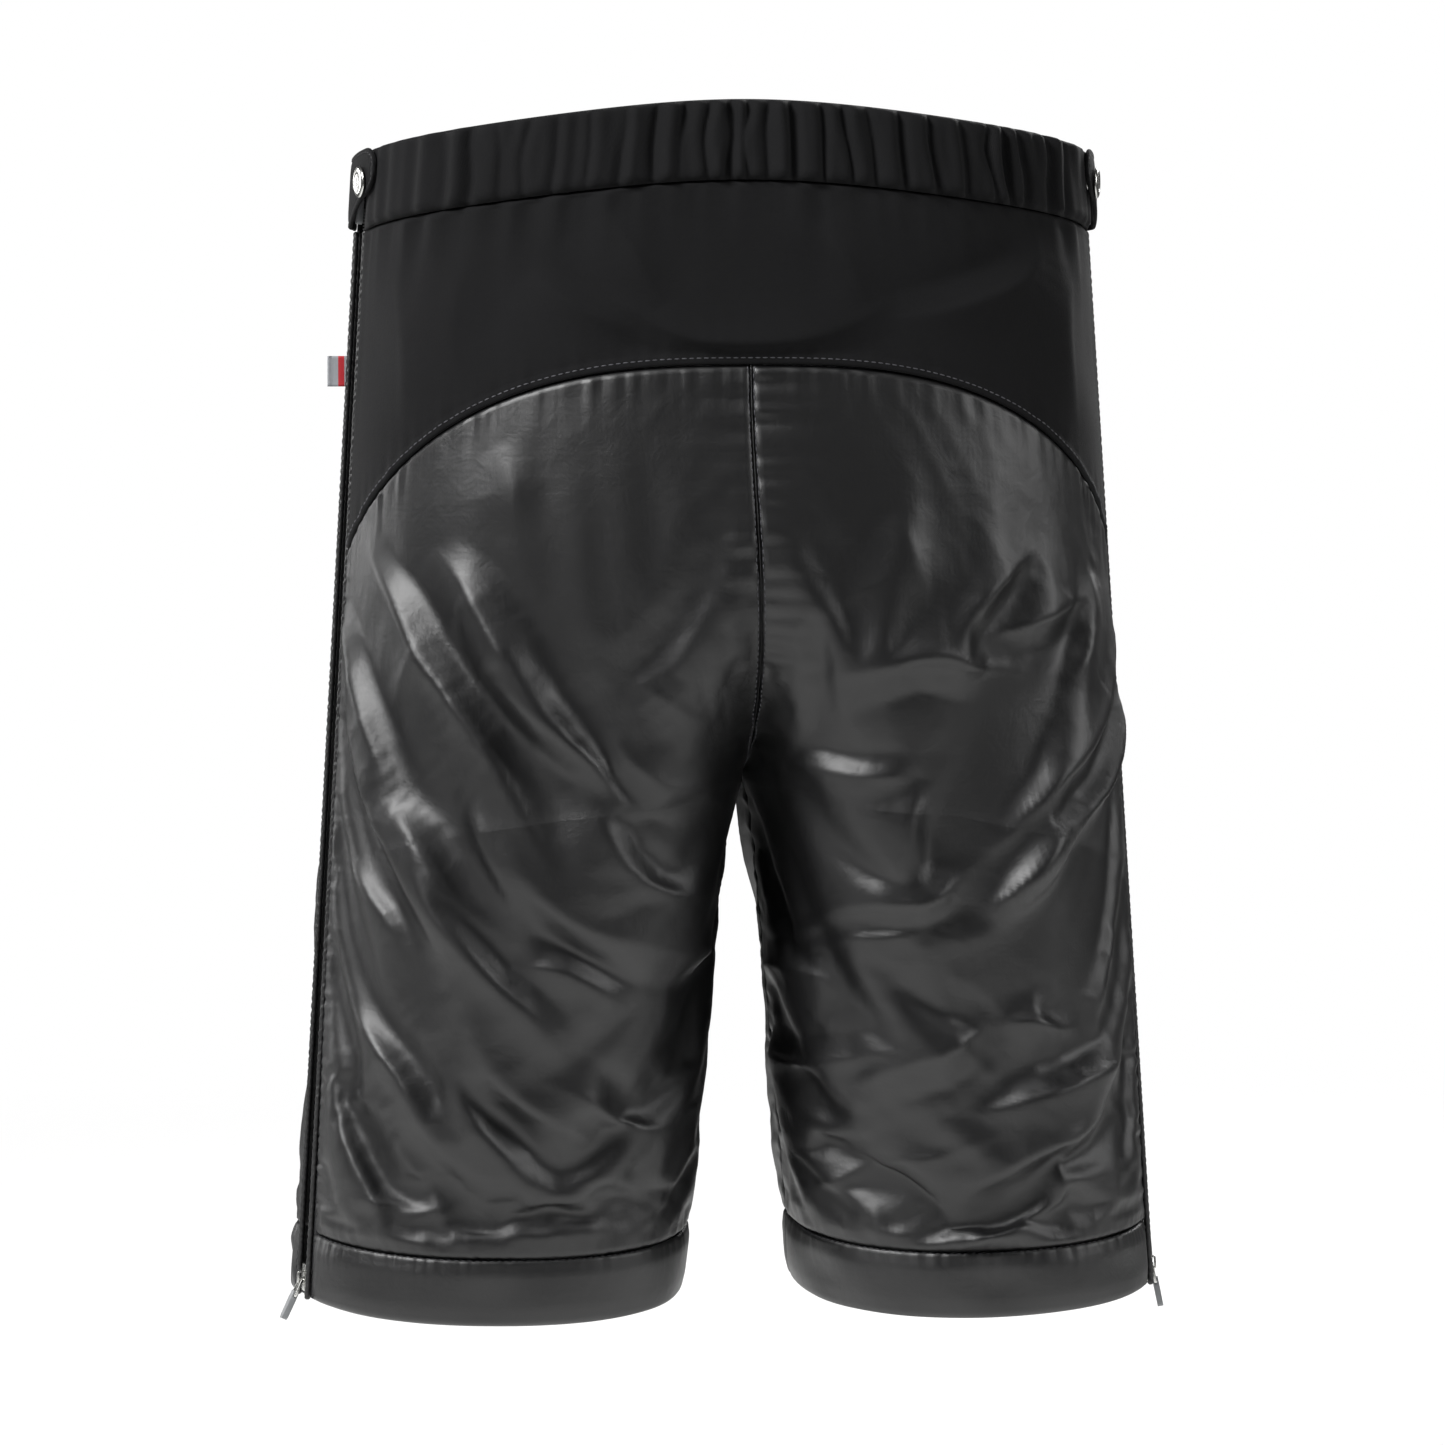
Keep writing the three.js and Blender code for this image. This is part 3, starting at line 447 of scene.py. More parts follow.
def softshell(tree, uv, place):
    # Softshell: a matt knitted face that takes the light evenly, with a faint nap.
    # Wales are 0.4 mm apart; drawn at 1 mm so that they show.
    knit = weave(tree, uv, 1.0, 0.8)
    nap = noise(tree, place, 900, 2.0)
    mixed = maths(tree, "MULTIPLY", nap, noise(tree, place, 18, 3.0))
    return (
        colourBetween(tree, mixed, "#0a0a0b", "#1a1a1c"),
        rangeOf(tree, nap, 0.72, 0.9),
        [(knit, 0.5, 0.2), (nap, 0.5, 0.2)],
    )


def liningTaffeta(tree, uv, place):
    # Lining: thin smooth polyester, dark grey and softly shiny.
    cloudy = noise(tree, place, 40, 3.0)
    return (
        colourBetween(tree, cloudy, "#1a1a1d", "#26262a"),
        rangeOf(tree, cloudy, 0.45, 0.65),
        [(cloudy, 0.3, 1.0), (weave(tree, uv, 1.0, 1.0), 0.3, 0.1)],
    )


def wovenTape(tree, uv, place):
    # Zip tape: a tight polyester twill, matt, ribbed along its length.
    inputs = {"Vector": uv, "Rotation": (0, 0, math.radians(40))}
    twill = weave(tree, addNode(tree, "ShaderNodeMapping", inputs).outputs[0], 0.9, 2.4)
    return (
        colourBetween(tree, twill, "#0f0f11", "#222226"),
        rangeOf(tree, twill, 0.85, 0.65),
        [(twill, 0.5, 0.2)],
    )


def ribbedElastic(tree, uv, place):
    # Knitted elastic: dull rubber-cored ribs that run along the band.
    ribs = weave(tree, uv, 1.6, 2.0)
    return (
        colourBetween(tree, ribs, "#0e0e10", "#1c1c1f"),
        rangeOf(tree, ribs, 0.95, 0.75),
        [(ribs, 0.6, 0.3)],
    )


def wovenTag(tree, uv, place):
    # Damask-woven tag: pale grey with one plain red bar.
    along = addNode(tree, "ShaderNodeSeparateXYZ", {0: uv}).outputs["X"]
    past = maths(tree, "GREATER_THAN", along, 2.4 * mm)
    bar = maths(tree, "MULTIPLY", past, maths(tree, "LESS_THAN", along, 5.2 * mm))
    threads = weave(tree, uv, 0.6, 0.6)
    grey = colourBetween(tree, threads, "#8d8f93", "#b4b6ba")
    red = colourBetween(tree, threads, "#b3262e", "#d8414a")
    inputs = {0: bar, 6: grey, 7: red}
    return (
        addNode(tree, "ShaderNodeMix", inputs, data_type="RGBA").outputs[2],
        rangeOf(tree, threads, 0.8, 0.6),
        [(threads, 0.5, 0.15)],
    )


def plainFinish(name, low, high, roughness, grain, depth, metallic=0.0):
    # One colour that varies a little, with a grain of a real size in millimetres.
    def pattern(tree, uv, place):
        fine = noise(tree, place, 1 / (grain * mm), 3.0, Roughness=0.6)
        return (
            colourBetween(tree, noise(tree, place, 160, 2.0), low, high),
            rangeOf(tree, fine, *roughness),
            [(fine, 0.4, depth)],
        )

    return newMaterial(name, {"Metallic": metallic}, pattern)


def woven(name, pattern, specular, ior=1.5, **more):
    return newMaterial(name, {"IOR": ior, "Specular IOR Level": specular, **more}, pattern)


finishes = {
    "nylon": woven("nylon taffeta, calendered", nylonTaffeta, 0.62, 1.53),
    "softshell": woven(
        "softshell, brushed knit", softshell, 0.16, **{"Sheen Weight": 0.03, "Sheen Roughness": 0.5}
    ),
    "lining": woven("polyester lining", liningTaffeta, 0.45, **{"Sheen Weight": 0.1}),
    "tape": woven("polyester zip tape, twill", wovenTape, 0.3),
    "elastic": woven("knitted elastic", ribbedElastic, 0.3),
    # Polyester monofilament coil: hard, smooth and black.
    "coil": plainFinish("polyester coil", "#19191b", "#2a2a2c", (0.28, 0.42), 0.5, 0.03),
    # Nickel-plated zinc: bright, with fine scratches from handling.
    "nickel": plainFinish(
        "nickel plate on zinc", "#c4c4c0", "#dededb", (0.16, 0.34), 0.35, 0.02, 1.0
    ),
    # Moulded soft plastic: mid grey with a spark-eroded grain.
    "grip": plainFinish("moulded elastomer", "#76787a", "#8c8e90", (0.42, 0.6), 0.3, 0.03),
    # Polyester sewing thread: a touch lighter than the cloth round it.
    "thread": plainFinish("polyester thread", "#3a3a3e", "#55555a", (0.4, 0.6), 0.3, 0.05),
    "darkThread": plainFinish("dark thread", "#1a1a1c", "#2c2c2f", (0.5, 0.7), 0.3, 0.05),
    "tag": woven("woven polyester tag", wovenTag, 0.35),
}
print("materials made")


# Folds


def between(p0, p1, p2, p3, t):  # a smooth curve from p1 to p2 as t goes from 0 to 1
    return 0.5 * (
        2 * p1 + (p2 - p0) * t + (2 * p0 - 5 * p1 + 4 * p2 - p3) * t**2
        + (3 * p1 - p0 - 3 * p2 + p3) * t**3
    )


def smoothPath(points, steps=6):  # more points along a smooth curve through these
    points = np.asarray(points, float)
    if len(points) == 2:
        return points[0] + (points[1] - points[0]) * np.linspace(0, 1, steps + 1)[:, None]
    ends = np.concatenate([[2 * points[0] - points[1]], points, [2 * points[-1] - points[-2]]])
    line = []
    for p0, p1, p2, p3 in zip(ends, ends[1:], ends[2:], ends[3:]):
        for t in np.linspace(0, 1, steps, endpoint=False):
            line.append(between(p0, p1, p2, p3, t))
    return np.array([*line, points[-1]])


def alongPath(flat, path):
    # For each flat point: its distance from the path, on which side, and how far along.
    best = np.full(flat.shape[:-1], np.inf)
    side = np.zeros_like(best)
    along = np.zeros_like(best)
    lengths = np.concatenate([[0], np.cumsum(np.linalg.norm(np.diff(path, axis=0), axis=1))])
    for i, (a, b) in enumerate(zip(path[:-1], path[1:])):
        run = b - a
        away = flat - a
        t = np.clip((away @ run) / (run @ run), 0, 1)
        distance = np.linalg.norm(away - t[..., None] * run, axis=-1)
        nearer = distance < best
        best = np.where(nearer, distance, best)
        cross = run[0] * away[..., 1] - run[1] * away[..., 0]
        side = np.where(nearer, np.sign(cross), side)
        along = np.where(nearer, (lengths[i] + t * np.linalg.norm(run)) / lengths[-1], along)
    return best, side, along


def foldHeight(flat, path, height, width, shade):
    # A sharp crest that falls steeply into a hollow on one side and gently on the other.
    distance, side, along = alongPath(flat, smoothPath(path))
    taper = np.sin(np.pi * np.clip(along, 0, 1)) ** 1.2
    across = distance * side * shade / width
    reach = lerp(1.9, 0.75, smoothstep(across, -0.3, 0.3))
    crest = 1.25 * np.exp(-np.sqrt(across**2 + 0.12) / reach)
    hollow = 0.7 * np.exp(-np.sqrt((across - 1.7) ** 2 + 0.2) / 0.9)
    return height * taper * (crest - hollow)


def waves(x, wavelength, seed, terms=7):  # an uneven ripple along a line, about -1 to 1
    rng = np.random.default_rng(seed)
    total = np.zeros_like(np.asarray(x, float))
    for _ in range(terms):
        length = wavelength * rng.uniform(0.6, 1.7)
        total += np.sin(2 * np.pi * (np.asarray(x) / length + rng.uniform())) * rng.uniform(0.5, 1)
    return total / math.sqrt(terms)


def ripple(flat, wavelength, seed, terms=9):  # an uneven swell over a surface, about -1 to 1
    rng = np.random.default_rng(seed)
    total = np.zeros(flat.shape[:-1])
    for _ in range(terms):
        angle, length = rng.uniform(0, 2 * np.pi), wavelength * rng.uniform(0.7, 1.4)
        reading = flat[..., 0] * math.cos(angle) + flat[..., 1] * math.sin(angle)
        total += np.sin(2 * np.pi * (reading / length + rng.uniform()))
    return total / math.sqrt(terms)


def crumples(flat, slant, seed):  # a net of sharp small creases, drawn out along a slant
    turn = math.radians(slant)
    along = flat[..., 0] * math.cos(turn) + flat[..., 1] * math.sin(turn)
    across = flat[..., 1] * math.cos(turn) - flat[..., 0] * math.sin(turn)
    drawn = np.stack([along / 2.1, across], -1)
    some = smoothstep(ripple(drawn, 110, seed), -0.6, 0.7)
    broad = 0.55 - np.abs(ripple(drawn, 30, seed + 1))
    fine = 0.5 - np.abs(ripple(drawn, 13, seed + 2))
    return lerp(0.3, 1, some) * broad + 0.3 * some * fine


def puckers(edge, along, reach, wavelength, seed):
    # Short creases square to a seam that die out away from it.
    strength = np.exp(-((np.maximum(edge, 0) / reach) ** 1.3))
    sharp = waves(along, wavelength, seed) - 0.5 * np.abs(waves(along, wavelength * 0.7, seed + 1))
    return strength * sharp


# Folds of each leg, listed as (x, z) points down from the waist, height, width and the
# side that its hollow lies on. x is towards the wearer's left.
foldsOf = {
    ("back", "left"): [
        ([(165, -188), (142, -235), (118, -274), (104, -300), (84, -340)], 5.5, 4.5, 1),
        ([(136, -196), (120, -216), (104, -240), (88, -268), (62, -296)], 6.5, 6.0, 1),
        ([(112, -246), (92, -268), (72, -292), (54, -314)], 4.0, 4.0, -1),
        ([(80, -292), (62, -324), (38, -341), (15, -349)], 4.5, 5.0, 1),
        ([(74, -262), (50, -290), (28, -303), (8, -308)], 4.0, 4.5, -1),
        ([(58, -245), (34, -262), (16, -270)], 1.6, 4.0, 1),
        ([(176, -222), (166, -262), (155, -292), (152, -306)], 3.5, 4.5, 1),
        ([(176, -252), (164, -308), (146, -348), (130, -378)], 3.5, 4.0, -1),
        ([(160, -300), (142, -324), (118, -352), (104, -366)], 4.5, 5.0, 1),
        ([(130, -296), (118, -320), (105, -352), (98, -372)], 3.0, 4.0, -1),
        ([(147, -318), (136, -348), (116, -376), (95, -396), (76, -422)], 5.5, 4.0, 1),
        ([(115, -318), (92, -346), (70, -360), (40, -371), (6, -380)], 6.0, 5.0, -1),
        ([(176, -326), (158, -352), (147, -382)], 3.5, 5.0, 1),
        ([(176, -388), (158, -416), (143, -436), (131, -470)], 4.0, 4.5, 1),
        ([(131, -394), (115, -416), (94, -438), (66, -460)], 5.0, 5.5, -1),
        ([(112, -370), (82, -378), (54, -393)], 3.0, 4.5, 1),
        ([(94, -420), (62, -440), (30, -456)], 4.0, 5.5, 1),
        ([(132, -404), (116, -446), (88, -486)], 4.0, 5.0, 1),
        ([(178, -430), (166, -470), (152, -508)], 3.0, 4.5, 1),
        ([(158, -440), (140, -478), (124, -506)], 2.6, 5.0, 1),
        ([(84, -470), (52, -480), (30, -492)], 2.2, 6.0, -1),
        ([(110, -150), (100, -170), (104, -190)], 1.2, 5.0, 1),
    ],
    ("back", "right"): [
        ([(-24, -256), (-70, -244), (-110, -246), (-136, -258)], 6.0, 5.0, -1),
        ([(-130, -196), (-112, -210), (-98, -226), (-92, -240)], 4.5, 4.0, 1),
        ([(-100, -232), (-132, -227), (-160, -216)], 4.5, 4.5, -1),
        ([(-158, -206), (-155, -234), (-142, -258)], 3.5, 5.0, -1),
        ([(-20, -291), (-50, -288), (-80, -294)], 5.0, 4.0, 1),
        ([(-80, -294), (-76, -316), (-68, -338)], 3.5, 4.0, 1),
        ([(-178, -232), (-164, -268), (-138, -300), (-104, -334), (-72, -352)], 6.0, 5.5, 1),
        ([(-187, -246), (-176, -284), (-158, -312), (-134, -342), (-104, -366)], 5.5, 5.0, 1),
        ([(-156, -308), (-130, -334), (-110, -358)], 4.5, 4.5, 1),
        ([(-26, -370), (-60, -350), (-84, -348), (-104, -338)], 5.5, 4.5, -1),
        ([(-28, -374), (-58, -364), (-86, -360)], 4.0, 4.0, 1),
        ([(-10, -386), (-38, -383), (-52, -392)], 3.5, 4.0, 1),
        ([(-18, -432), (-52, -419), (-74, -415)], 4.5, 4.5, 1),
        ([(-50, -430), (-74, -424), (-114, -401)], 5.5, 5.0, -1),
        ([(-112, -404), (-134, -402), (-158, -406)], 4.0, 5.0, 1),
        ([(-104, -444), (-132, -434), (-178, -424)], 5.0, 5.0, 1),
        ([(-96, -482), (-130, -463), (-168, -444)], 5.0, 5.0, -1),
        ([(-74, -522), (-106, -502), (-142, -485)], 3.5, 5.0, 1),
        ([(-32, -488), (-68, -468), (-120, -451)], 3.5, 6.0, 1),
        ([(-110, -354), (-124, -336), (-142, -314)], 4.0, 5.0, 1),
        ([(-176, -350), (-168, -390), (-160, -420)], 3.0, 5.0, 1),
        ([(-150, -450), (-142, -480), (-150, -506)], 2.5, 5.0, -1),
        ([(-60, -180), (-76, -200), (-80, -222)], 1.6, 7.0, 1),
    ],
    ("front", "left"): [
        ([(6, -262), (40, -240), (84, -222)], 3.5, 6.0, 1),
        ([(8, -286), (50, -276), (96, -268)], 4.0, 6.0, 1),
        ([(12, -306), (56, -312), (100, -330)], 4.0, 6.0, -1),
        ([(24, -330), (66, -350), (104, -384)], 3.5, 6.0, 1),
        ([(150, -120), (132, -160), (126, -200)], 2.5, 7.0, 1),
        ([(168, -200), (144, -250), (130, -310)], 3.5, 6.0, -1),
        ([(172, -300), (146, -350), (128, -410)], 3.5, 6.0, 1),
        ([(160, -390), (130, -430), (110, -480)], 3.0, 6.0, -1),
        ([(90, -400), (70, -440), (44, -470)], 3.0, 6.0, 1),
        ([(40, -100), (60, -140), (66, -180)], 1.6, 8.0, 1),
    ],
    ("front", "right"): [
        ([(-6, -266), (-44, -246), (-90, -236)], 3.5, 6.0, -1),
        ([(-8, -288), (-54, -282), (-92, -286)], 4.0, 6.0, -1),
        ([(-14, -310), (-58, -322), (-96, -346)], 4.0, 6.0, 1),
        ([(-30, -340), (-70, -368), (-100, -404)], 3.5, 6.0, -1),
        ([(-152, -130), (-136, -170), (-130, -214)], 2.5, 7.0, 1),
        ([(-170, -214), (-150, -262), (-128, -316)], 3.5, 6.0, 1),
        ([(-174, -310), (-150, -366), (-134, -424)], 3.5, 6.0, -1),
        ([(-156, -404), (-132, -440), (-104, -486)], 3.0, 6.0, 1),
        ([(-84, -420), (-62, -452), (-40, -480)], 3.0, 6.0, -1),
        ([(-44, -104), (-64, -144), (-60, -190)], 1.6, 8.0, -1),
    ],
}

panel = {
    "columns": 112,
    "rows": 236,
    "clothColumns": 50,
    "clothRows": 104,
    "innerDepth": 6.0,  # millimetres, just clear of the lining
    "leastThickness": 3.0,
    "proud": 9.0,  # the furthest that a fold stands out
    "hollow": 7.0,  # and the deepest that it sinks
    "seamCalm": 9.0,  # folds fade this near a seam
    "seamRoll": 1.7,  # how far the edge rolls in at a seam
    "rollReach": 2.4,
    "edgeCalm": 2.5,  # nothing moves right at the edge
    # Puckers beside each edge: height, reach into the panel, wavelength and seed.
    "puckers": {
        "fromTop": (0.75, 11, 9, 0),
        "fromHem": (0.6, 7, 5, 3),
        "across": (0.85, 14, 11, 6),
        "fromZip": (0.5, 7, 6, 9),
    },
    "foldGain": 1.9,  # how much higher and wider the listed folds are made
    "foldSpread": 1.5,
    "waver": 1.6,  # how unevenly the folds run
    "crumple": 0.75,
    "crumpleSlant": 52,  # degrees down and inwards, as the cloth hangs from the hip
    "seatStart": 8,
    "seatCalm": 140,  # the crumpling fades in down to this distance below the top seam
    "seatCrumple": 0.35,  # what there is of it at the seam
    "crotchRun": 12,  # the seam's roll fades out over this height above the crotch
    "sideways": 5,  # the furthest that the cloth shifts along itself
    "slack": -0.018,  # how much the simulated cloth shrinks; it grows when this is below 0
    "frames": 22,
    "bending": 0.6,
    "gravity": 0.25,
}


def panelGrid(face, hand, columns, rows):
    # Where a leg panel's points lie: their column, level and how far each is from its edges.
    top = (archSeam if face == "back" else lambda c: bandBottom("front", c))
    column = halfColumns(columns)[:, None]
    v = np.linspace(0, 1, rows)[None, :]
    high, low = top(column) - g["seamGap"], hemSeam(column) + g["seamGap"]
    z = lerp(high, low, v)
    turn = panelTurn(face, np.broadcast_to(column, z.shape), z, g["seamGap"])
    base = skin(hands[hand], turn, z, 0)
    across = arcLengths(base, 0)
    fromZip = across[-1:] - across
    slope = np.gradient(high[:, 0], across[:, 0])
    lean = 1 / np.sqrt(1 + slope**2)
    return {
        "turn": turn,
        "z": z,
        "base": base,
        "across": across,
        "fromZip": fromZip,
        "fromTop": (high - z) * lean[:, None],
        "fromHem": z - low,
        "side": hands[hand],
    }


def flatPlaces(grid, path):
    # A fold's points as distance from the zip along the cloth, and height.
    places = []
    for x, z in path:
        row = int(np.abs(grid["z"].mean(0) - z).argmin())
        xs = grid["side"] * grid["base"][:, row, 0]
        order = np.argsort(xs)
        places.append((
            np.interp(grid["side"] * x, xs[order], grid["fromZip"][order, row]), z
        ))
    return places


def foldsAt(grid, folds):
    flat = np.stack([grid["fromZip"], grid["z"]], -1)
    flat = flat + panel["waver"] * np.stack([ripple(flat, 60, 91), ripple(flat, 60, 92)], -1)
    total = np.zeros_like(grid["z"])
    for path, height, width, shade in folds:
        # Distances grow towards the seam, so a hollow's side is turned round on the left.
        total += foldHeight(
            flat, flatPlaces(grid, path), height, panel["foldSpread"] * width,
            shade * grid["side"],
        )
    return panel["foldGain"] * total


def calmNear(grid, reach):  # 0 at the edges of the panel and 1 inside
    inner = grid["across"] * np.where(grid["z"] < crotchZ, 0.4, 1)
    edge = np.minimum.reduce([inner, grid["fromZip"], grid["fromTop"], grid["fromHem"] * 1.2])
    return smoothstep(edge, 0, reach)


def tameHeights(grid, height):
    # The gap between the legs leaves folds less room on the inside of the thigh.
    room = np.minimum(panel["proud"], 0.7 * np.abs(outline(grid["turn"], grid["z"])[..., 0]))
    height = np.where(height > 0, room * np.tanh(height / np.maximum(room, 0.1)), height)
    low = panel["hollow"]
    return np.where(height < 0, low * np.tanh(height / low), height)


def simulateSlack(name, grid, start):
    # The nylon is a little larger than the wadding under it, so it crumples between
    # its seams: cloth that grows while its edges are held.
    rows, columns = start.shape[:2]
    piece = newPiece(
        name, start.reshape(-1, 3), gridFaces(rows, columns), finishes["nylon"]
    )
    group = piece.vertex_groups.new(name="held")
    edge = calmNear(grid, panel["seamCalm"]).ravel()
    for i, share in enumerate(edge):
        if share < 1:
            group.add([i], float(1 - share), "REPLACE")
    cloth = piece.modifiers.new("slack", "CLOTH")
    settings = cloth.settings
    settings.quality = 5
    settings.mass = 0.12
    settings.air_damping = 3
    settings.tension_stiffness = 12
    settings.compression_stiffness = 12
    settings.shear_stiffness = 3
    settings.bending_stiffness = panel["bending"]
    settings.vertex_group_mass = "held"
    settings.pin_stiffness = 2
    settings.shrink_min = panel["slack"]
    settings.effector_weights.gravity = panel["gravity"]
    cloth.collision_settings.use_collision = False
    cloth.collision_settings.use_self_collision = False
    cloth.point_cache.frame_start = 1
    cloth.point_cache.frame_end = panel["frames"]
    scene = bpy.context.scene
    for step in range(1, panel["frames"] + 1):
        scene.frame_set(step)
    shaped = piece.evaluated_get(bpy.context.evaluated_depsgraph_get())
    points = np.zeros(rows * columns * 3, np.float32)
    shaped.data.vertices.foreach_get("co", points)
    scene.frame_set(1)
    mesh = piece.data
    bpy.data.objects.remove(piece)
    bpy.data.meshes.remove(mesh)
    return points.reshape(rows, columns, 3).astype(float) / mm


def finer(field, rows, columns):  # a smooth, denser copy of a coarse field of values
    def along(values, count):
        n = len(values)
        at = np.linspace(0, n - 1, count)
        i = np.clip(at.astype(int), 0, n - 2)
        t = (at - i).reshape(-1, *[1] * (values.ndim - 1))
        return between(*[values[np.clip(i + k, 0, n - 1)] for k in (-1, 0, 1, 2)], t)

    return along(along(field, rows).swapaxes(0, 1), columns).swapaxes(0, 1)


def blurred(field):  # each value mixed with the four beside it
    wide = np.pad(field, ((1, 1), (1, 1), (0, 0)), mode="edge")
    beside = wide[:-2, 1:-1] + wide[2:, 1:-1] + wide[1:-1, :-2] + wide[1:-1, 2:]
    return 0.4 * field + 0.15 * beside


def outwardsOf(grid):
    out = outwards(grid["turn"], grid["z"])
    return np.stack([grid["side"] * out[..., 0], out[..., 1], 0 * out[..., 0]], -1)


grids = {}  # the outer face of each sewn piece, for the stitches on it
sunk = {}  # how far each panel's outer face lies inside its plain surface


def makePanel(face, hand, seed):
    name = f"{face}{hand.capitalize()}Panel"
    grid = panelGrid(face, hand, panel["columns"], panel["rows"])
    coarse = panelGrid(face, hand, panel["clothColumns"], panel["clothRows"])
    folds = foldsOf[(face, hand)]
    out = outwardsOf(grid)
    laid = foldsAt(grid, folds) * calmNear(grid, panel["seamCalm"])
    height = tameHeights(coarse, foldsAt(coarse, folds) * calmNear(coarse, panel["seamCalm"]))
    start = coarse["base"] + outwardsOf(coarse) * height[..., None]
    moved = simulateSlack(name, coarse, start)
    offset = finer(blurred(moved - start), panel["columns"], panel["rows"])
    below = smoothstep(grid["fromTop"], panel["seatStart"], panel["seatCalm"])
    offset *= below[..., None]
    raised = (offset * out).sum(-1)
    sideways = offset - raised[..., None] * out
    sideLength = np.linalg.norm(sideways, axis=-1, keepdims=True)
    sideways *= np.minimum(1, panel["sideways"] / np.maximum(sideLength, 1e-6))
    raised += laid
    flat = np.stack([grid["fromZip"], grid["z"]], -1)
    seat = lerp(panel["seatCrumple"], 1, below)
    small = crumples(flat, panel["crumpleSlant"], seed + 12)
    raised += panel["crumple"] * small * seat * calmNear(grid, panel["seamCalm"])

    # Puckers beside every seam, and the edge rolled in to it.
    topArc = grid["across"][:, :1] + 0 * grid["z"]
    for edge, (gain, reach, wavelength, order) in panel["puckers"].items():
        along = topArc if edge in ("fromTop", "fromHem") else grid["z"]
        raised += gain * puckers(grid[edge], along, reach, wavelength, seed + order)
    calm = calmNear(grid, panel["edgeCalm"])
    raised = tameHeights(grid, raised) * calm
    edge = np.minimum.reduce([grid[key] for key in ("across", "fromZip", "fromTop", "fromHem")])
    # Towards the crotch the two halves face each other, and rolling in would part them.
    facing = smoothstep(np.abs(out[..., 0]), 0.04, 0.3) * (grid["across"] < panel["rollReach"])
    rolled = 1 - facing * smoothstep(grid["z"], crotchZ - panel["crotchRun"], crotchZ)
    raised -= panel["seamRoll"] * rolled * rollIn(edge, panel["rollReach"])
    outer = grid["base"] + out * raised[..., None] + sideways * calm[..., None]
    inner = skin(
        grid["side"], grid["turn"], grid["z"],
        np.maximum(panel["innerDepth"], panel["leastThickness"] - raised),
    )
    sunk[(face, hand)] = np.maximum(0, -raised)
    uv = np.stack([grid["across"], grid["z"]], -1)
    piece = closedGrid(name, outer, inner, finishes["nylon"], uv)
    grids[name] = outer
    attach(piece, "shorts")
    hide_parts(f"{face}_{hand}_shell", f"{face}_{hand}_wadding")
    print("panel", name, "folds from", round(float(raised.min()), 1), "to",
          round(float(raised.max()), 1), "mm")
    return piece


for number, (face, hand) in enumerate(foldsOf):
    makePanel(face, hand, 40 + 20 * number)

# Linings, a sheet behind each panel that gives way where a fold sinks in.
lining = {"clear": 0.25, "columns": 70, "rows": 130, "loose": 0.9, "calm": 14}
for face, hand in foldsOf:
    grid = panelGrid(face, hand, lining["columns"], lining["rows"])
    pressed = finer(sunk[(face, hand)], lining["columns"], lining["rows"])
    for _ in range(2):  # the deepest value nearby, so that the wadding stays clear
        wide = np.pad(pressed, 1, mode="edge")
        pressed = np.maximum.reduce([
            wide[1:-1, 1:-1], wide[:-2, 1:-1], wide[2:, 1:-1], wide[1:-1, :-2], wide[1:-1, 2:]
        ])
    depth = np.maximum(g["liningDepth"], panel["leastThickness"] + pressed + lining["clear"])
    loose = waves(grid["across"], 34, 7) * waves(grid["z"], 60, 8)
    depth = depth + lining["loose"] * np.abs(loose) * calmNear(grid, lining["calm"])
    outer = skin(grid["side"], grid["turn"], grid["z"], depth)
    inner = skin(grid["side"], grid["turn"], grid["z"], depth + g["liningThickness"])
    uv = np.stack([grid["across"], grid["z"]], -1)
    name = f"{face}{hand.capitalize()}Lining"
    piece = closedGrid(name, outer, inner, finishes["lining"], uv)
    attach(piece, "shorts")
    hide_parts(f"{face}_{hand}_lining")
    length = 0.39 if face == "back" else 0.42
print("linings made")

hem = {
    "columns": 150,
    "rows": 30,
    "thickness": 6.8,
    "roll": 3.2,  # the fold's radius
    "proud": 1.2,
    "waviness": 0.8,
    "pucker": (0.45, 6, 4.5),  # height, reach and wavelength
    "edgeCalm": 6,
    "rim": (1.4, 2.0),  # how far the other edges roll in, and over what distance
}
for number, (face, hand) in enumerate(foldsOf):
    column = halfColumns(hem["columns"])[:, None]
    v = (1 - np.cos(np.pi * np.linspace(0, 1, hem["rows"]))) / 2
    z = hemSeam(column) + (hemBottom(column) - hemSeam(column)) * v
    turn = panelTurn(face, np.broadcast_to(column, z.shape), z, g["seamGap"])
    base = skin(hands[hand], turn, z, 0)
    across = arcLengths(base, 0)
    edge = np.minimum(across, across[-1:] - across)
    fromTop = hemSeam(column) - z
    fromFold = z - hemBottom(column)
    gain, reach, wavelength = hem["pucker"]
    raised = gain * puckers(fromTop, across[:, :1] + 0 * z, reach, wavelength, 300 + number)
    raised += hem["waviness"] * waves(across, 60, 310 + number) * waves(z, 30, 320 + number)
    raised += hem["proud"] * smoothstep(fromTop, 0, 8) * smoothstep(fromFold, -2, 10)
    raised *= smoothstep(edge, 0, hem["edgeCalm"])
    turnedIn = hem["roll"] * rollIn(fromFold, hem["roll"])
    seamRoll = hem["rim"][0] * rollIn(np.minimum(edge, fromTop), hem["rim"][1])
    outer = skin(hands[hand], turn, z, turnedIn + seamRoll - raised)
    inner = skin(hands[hand], turn, z, hem["thickness"] - turnedIn)
    uv = np.stack([across, z], -1)
    name = f"{face}{hand.capitalize()}Hem"
    piece = closedGrid(name, outer, inner, finishes["nylon"], uv)
    grids[name] = outer
    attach(piece, "shorts")
    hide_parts(f"{face}_{hand}_hem")
print("hems made")


def bothSides(count):  # columns of a piece that crosses the middle, right hand first
    half = halfColumns(count)
    return np.concatenate([-half[:0:-1], half])


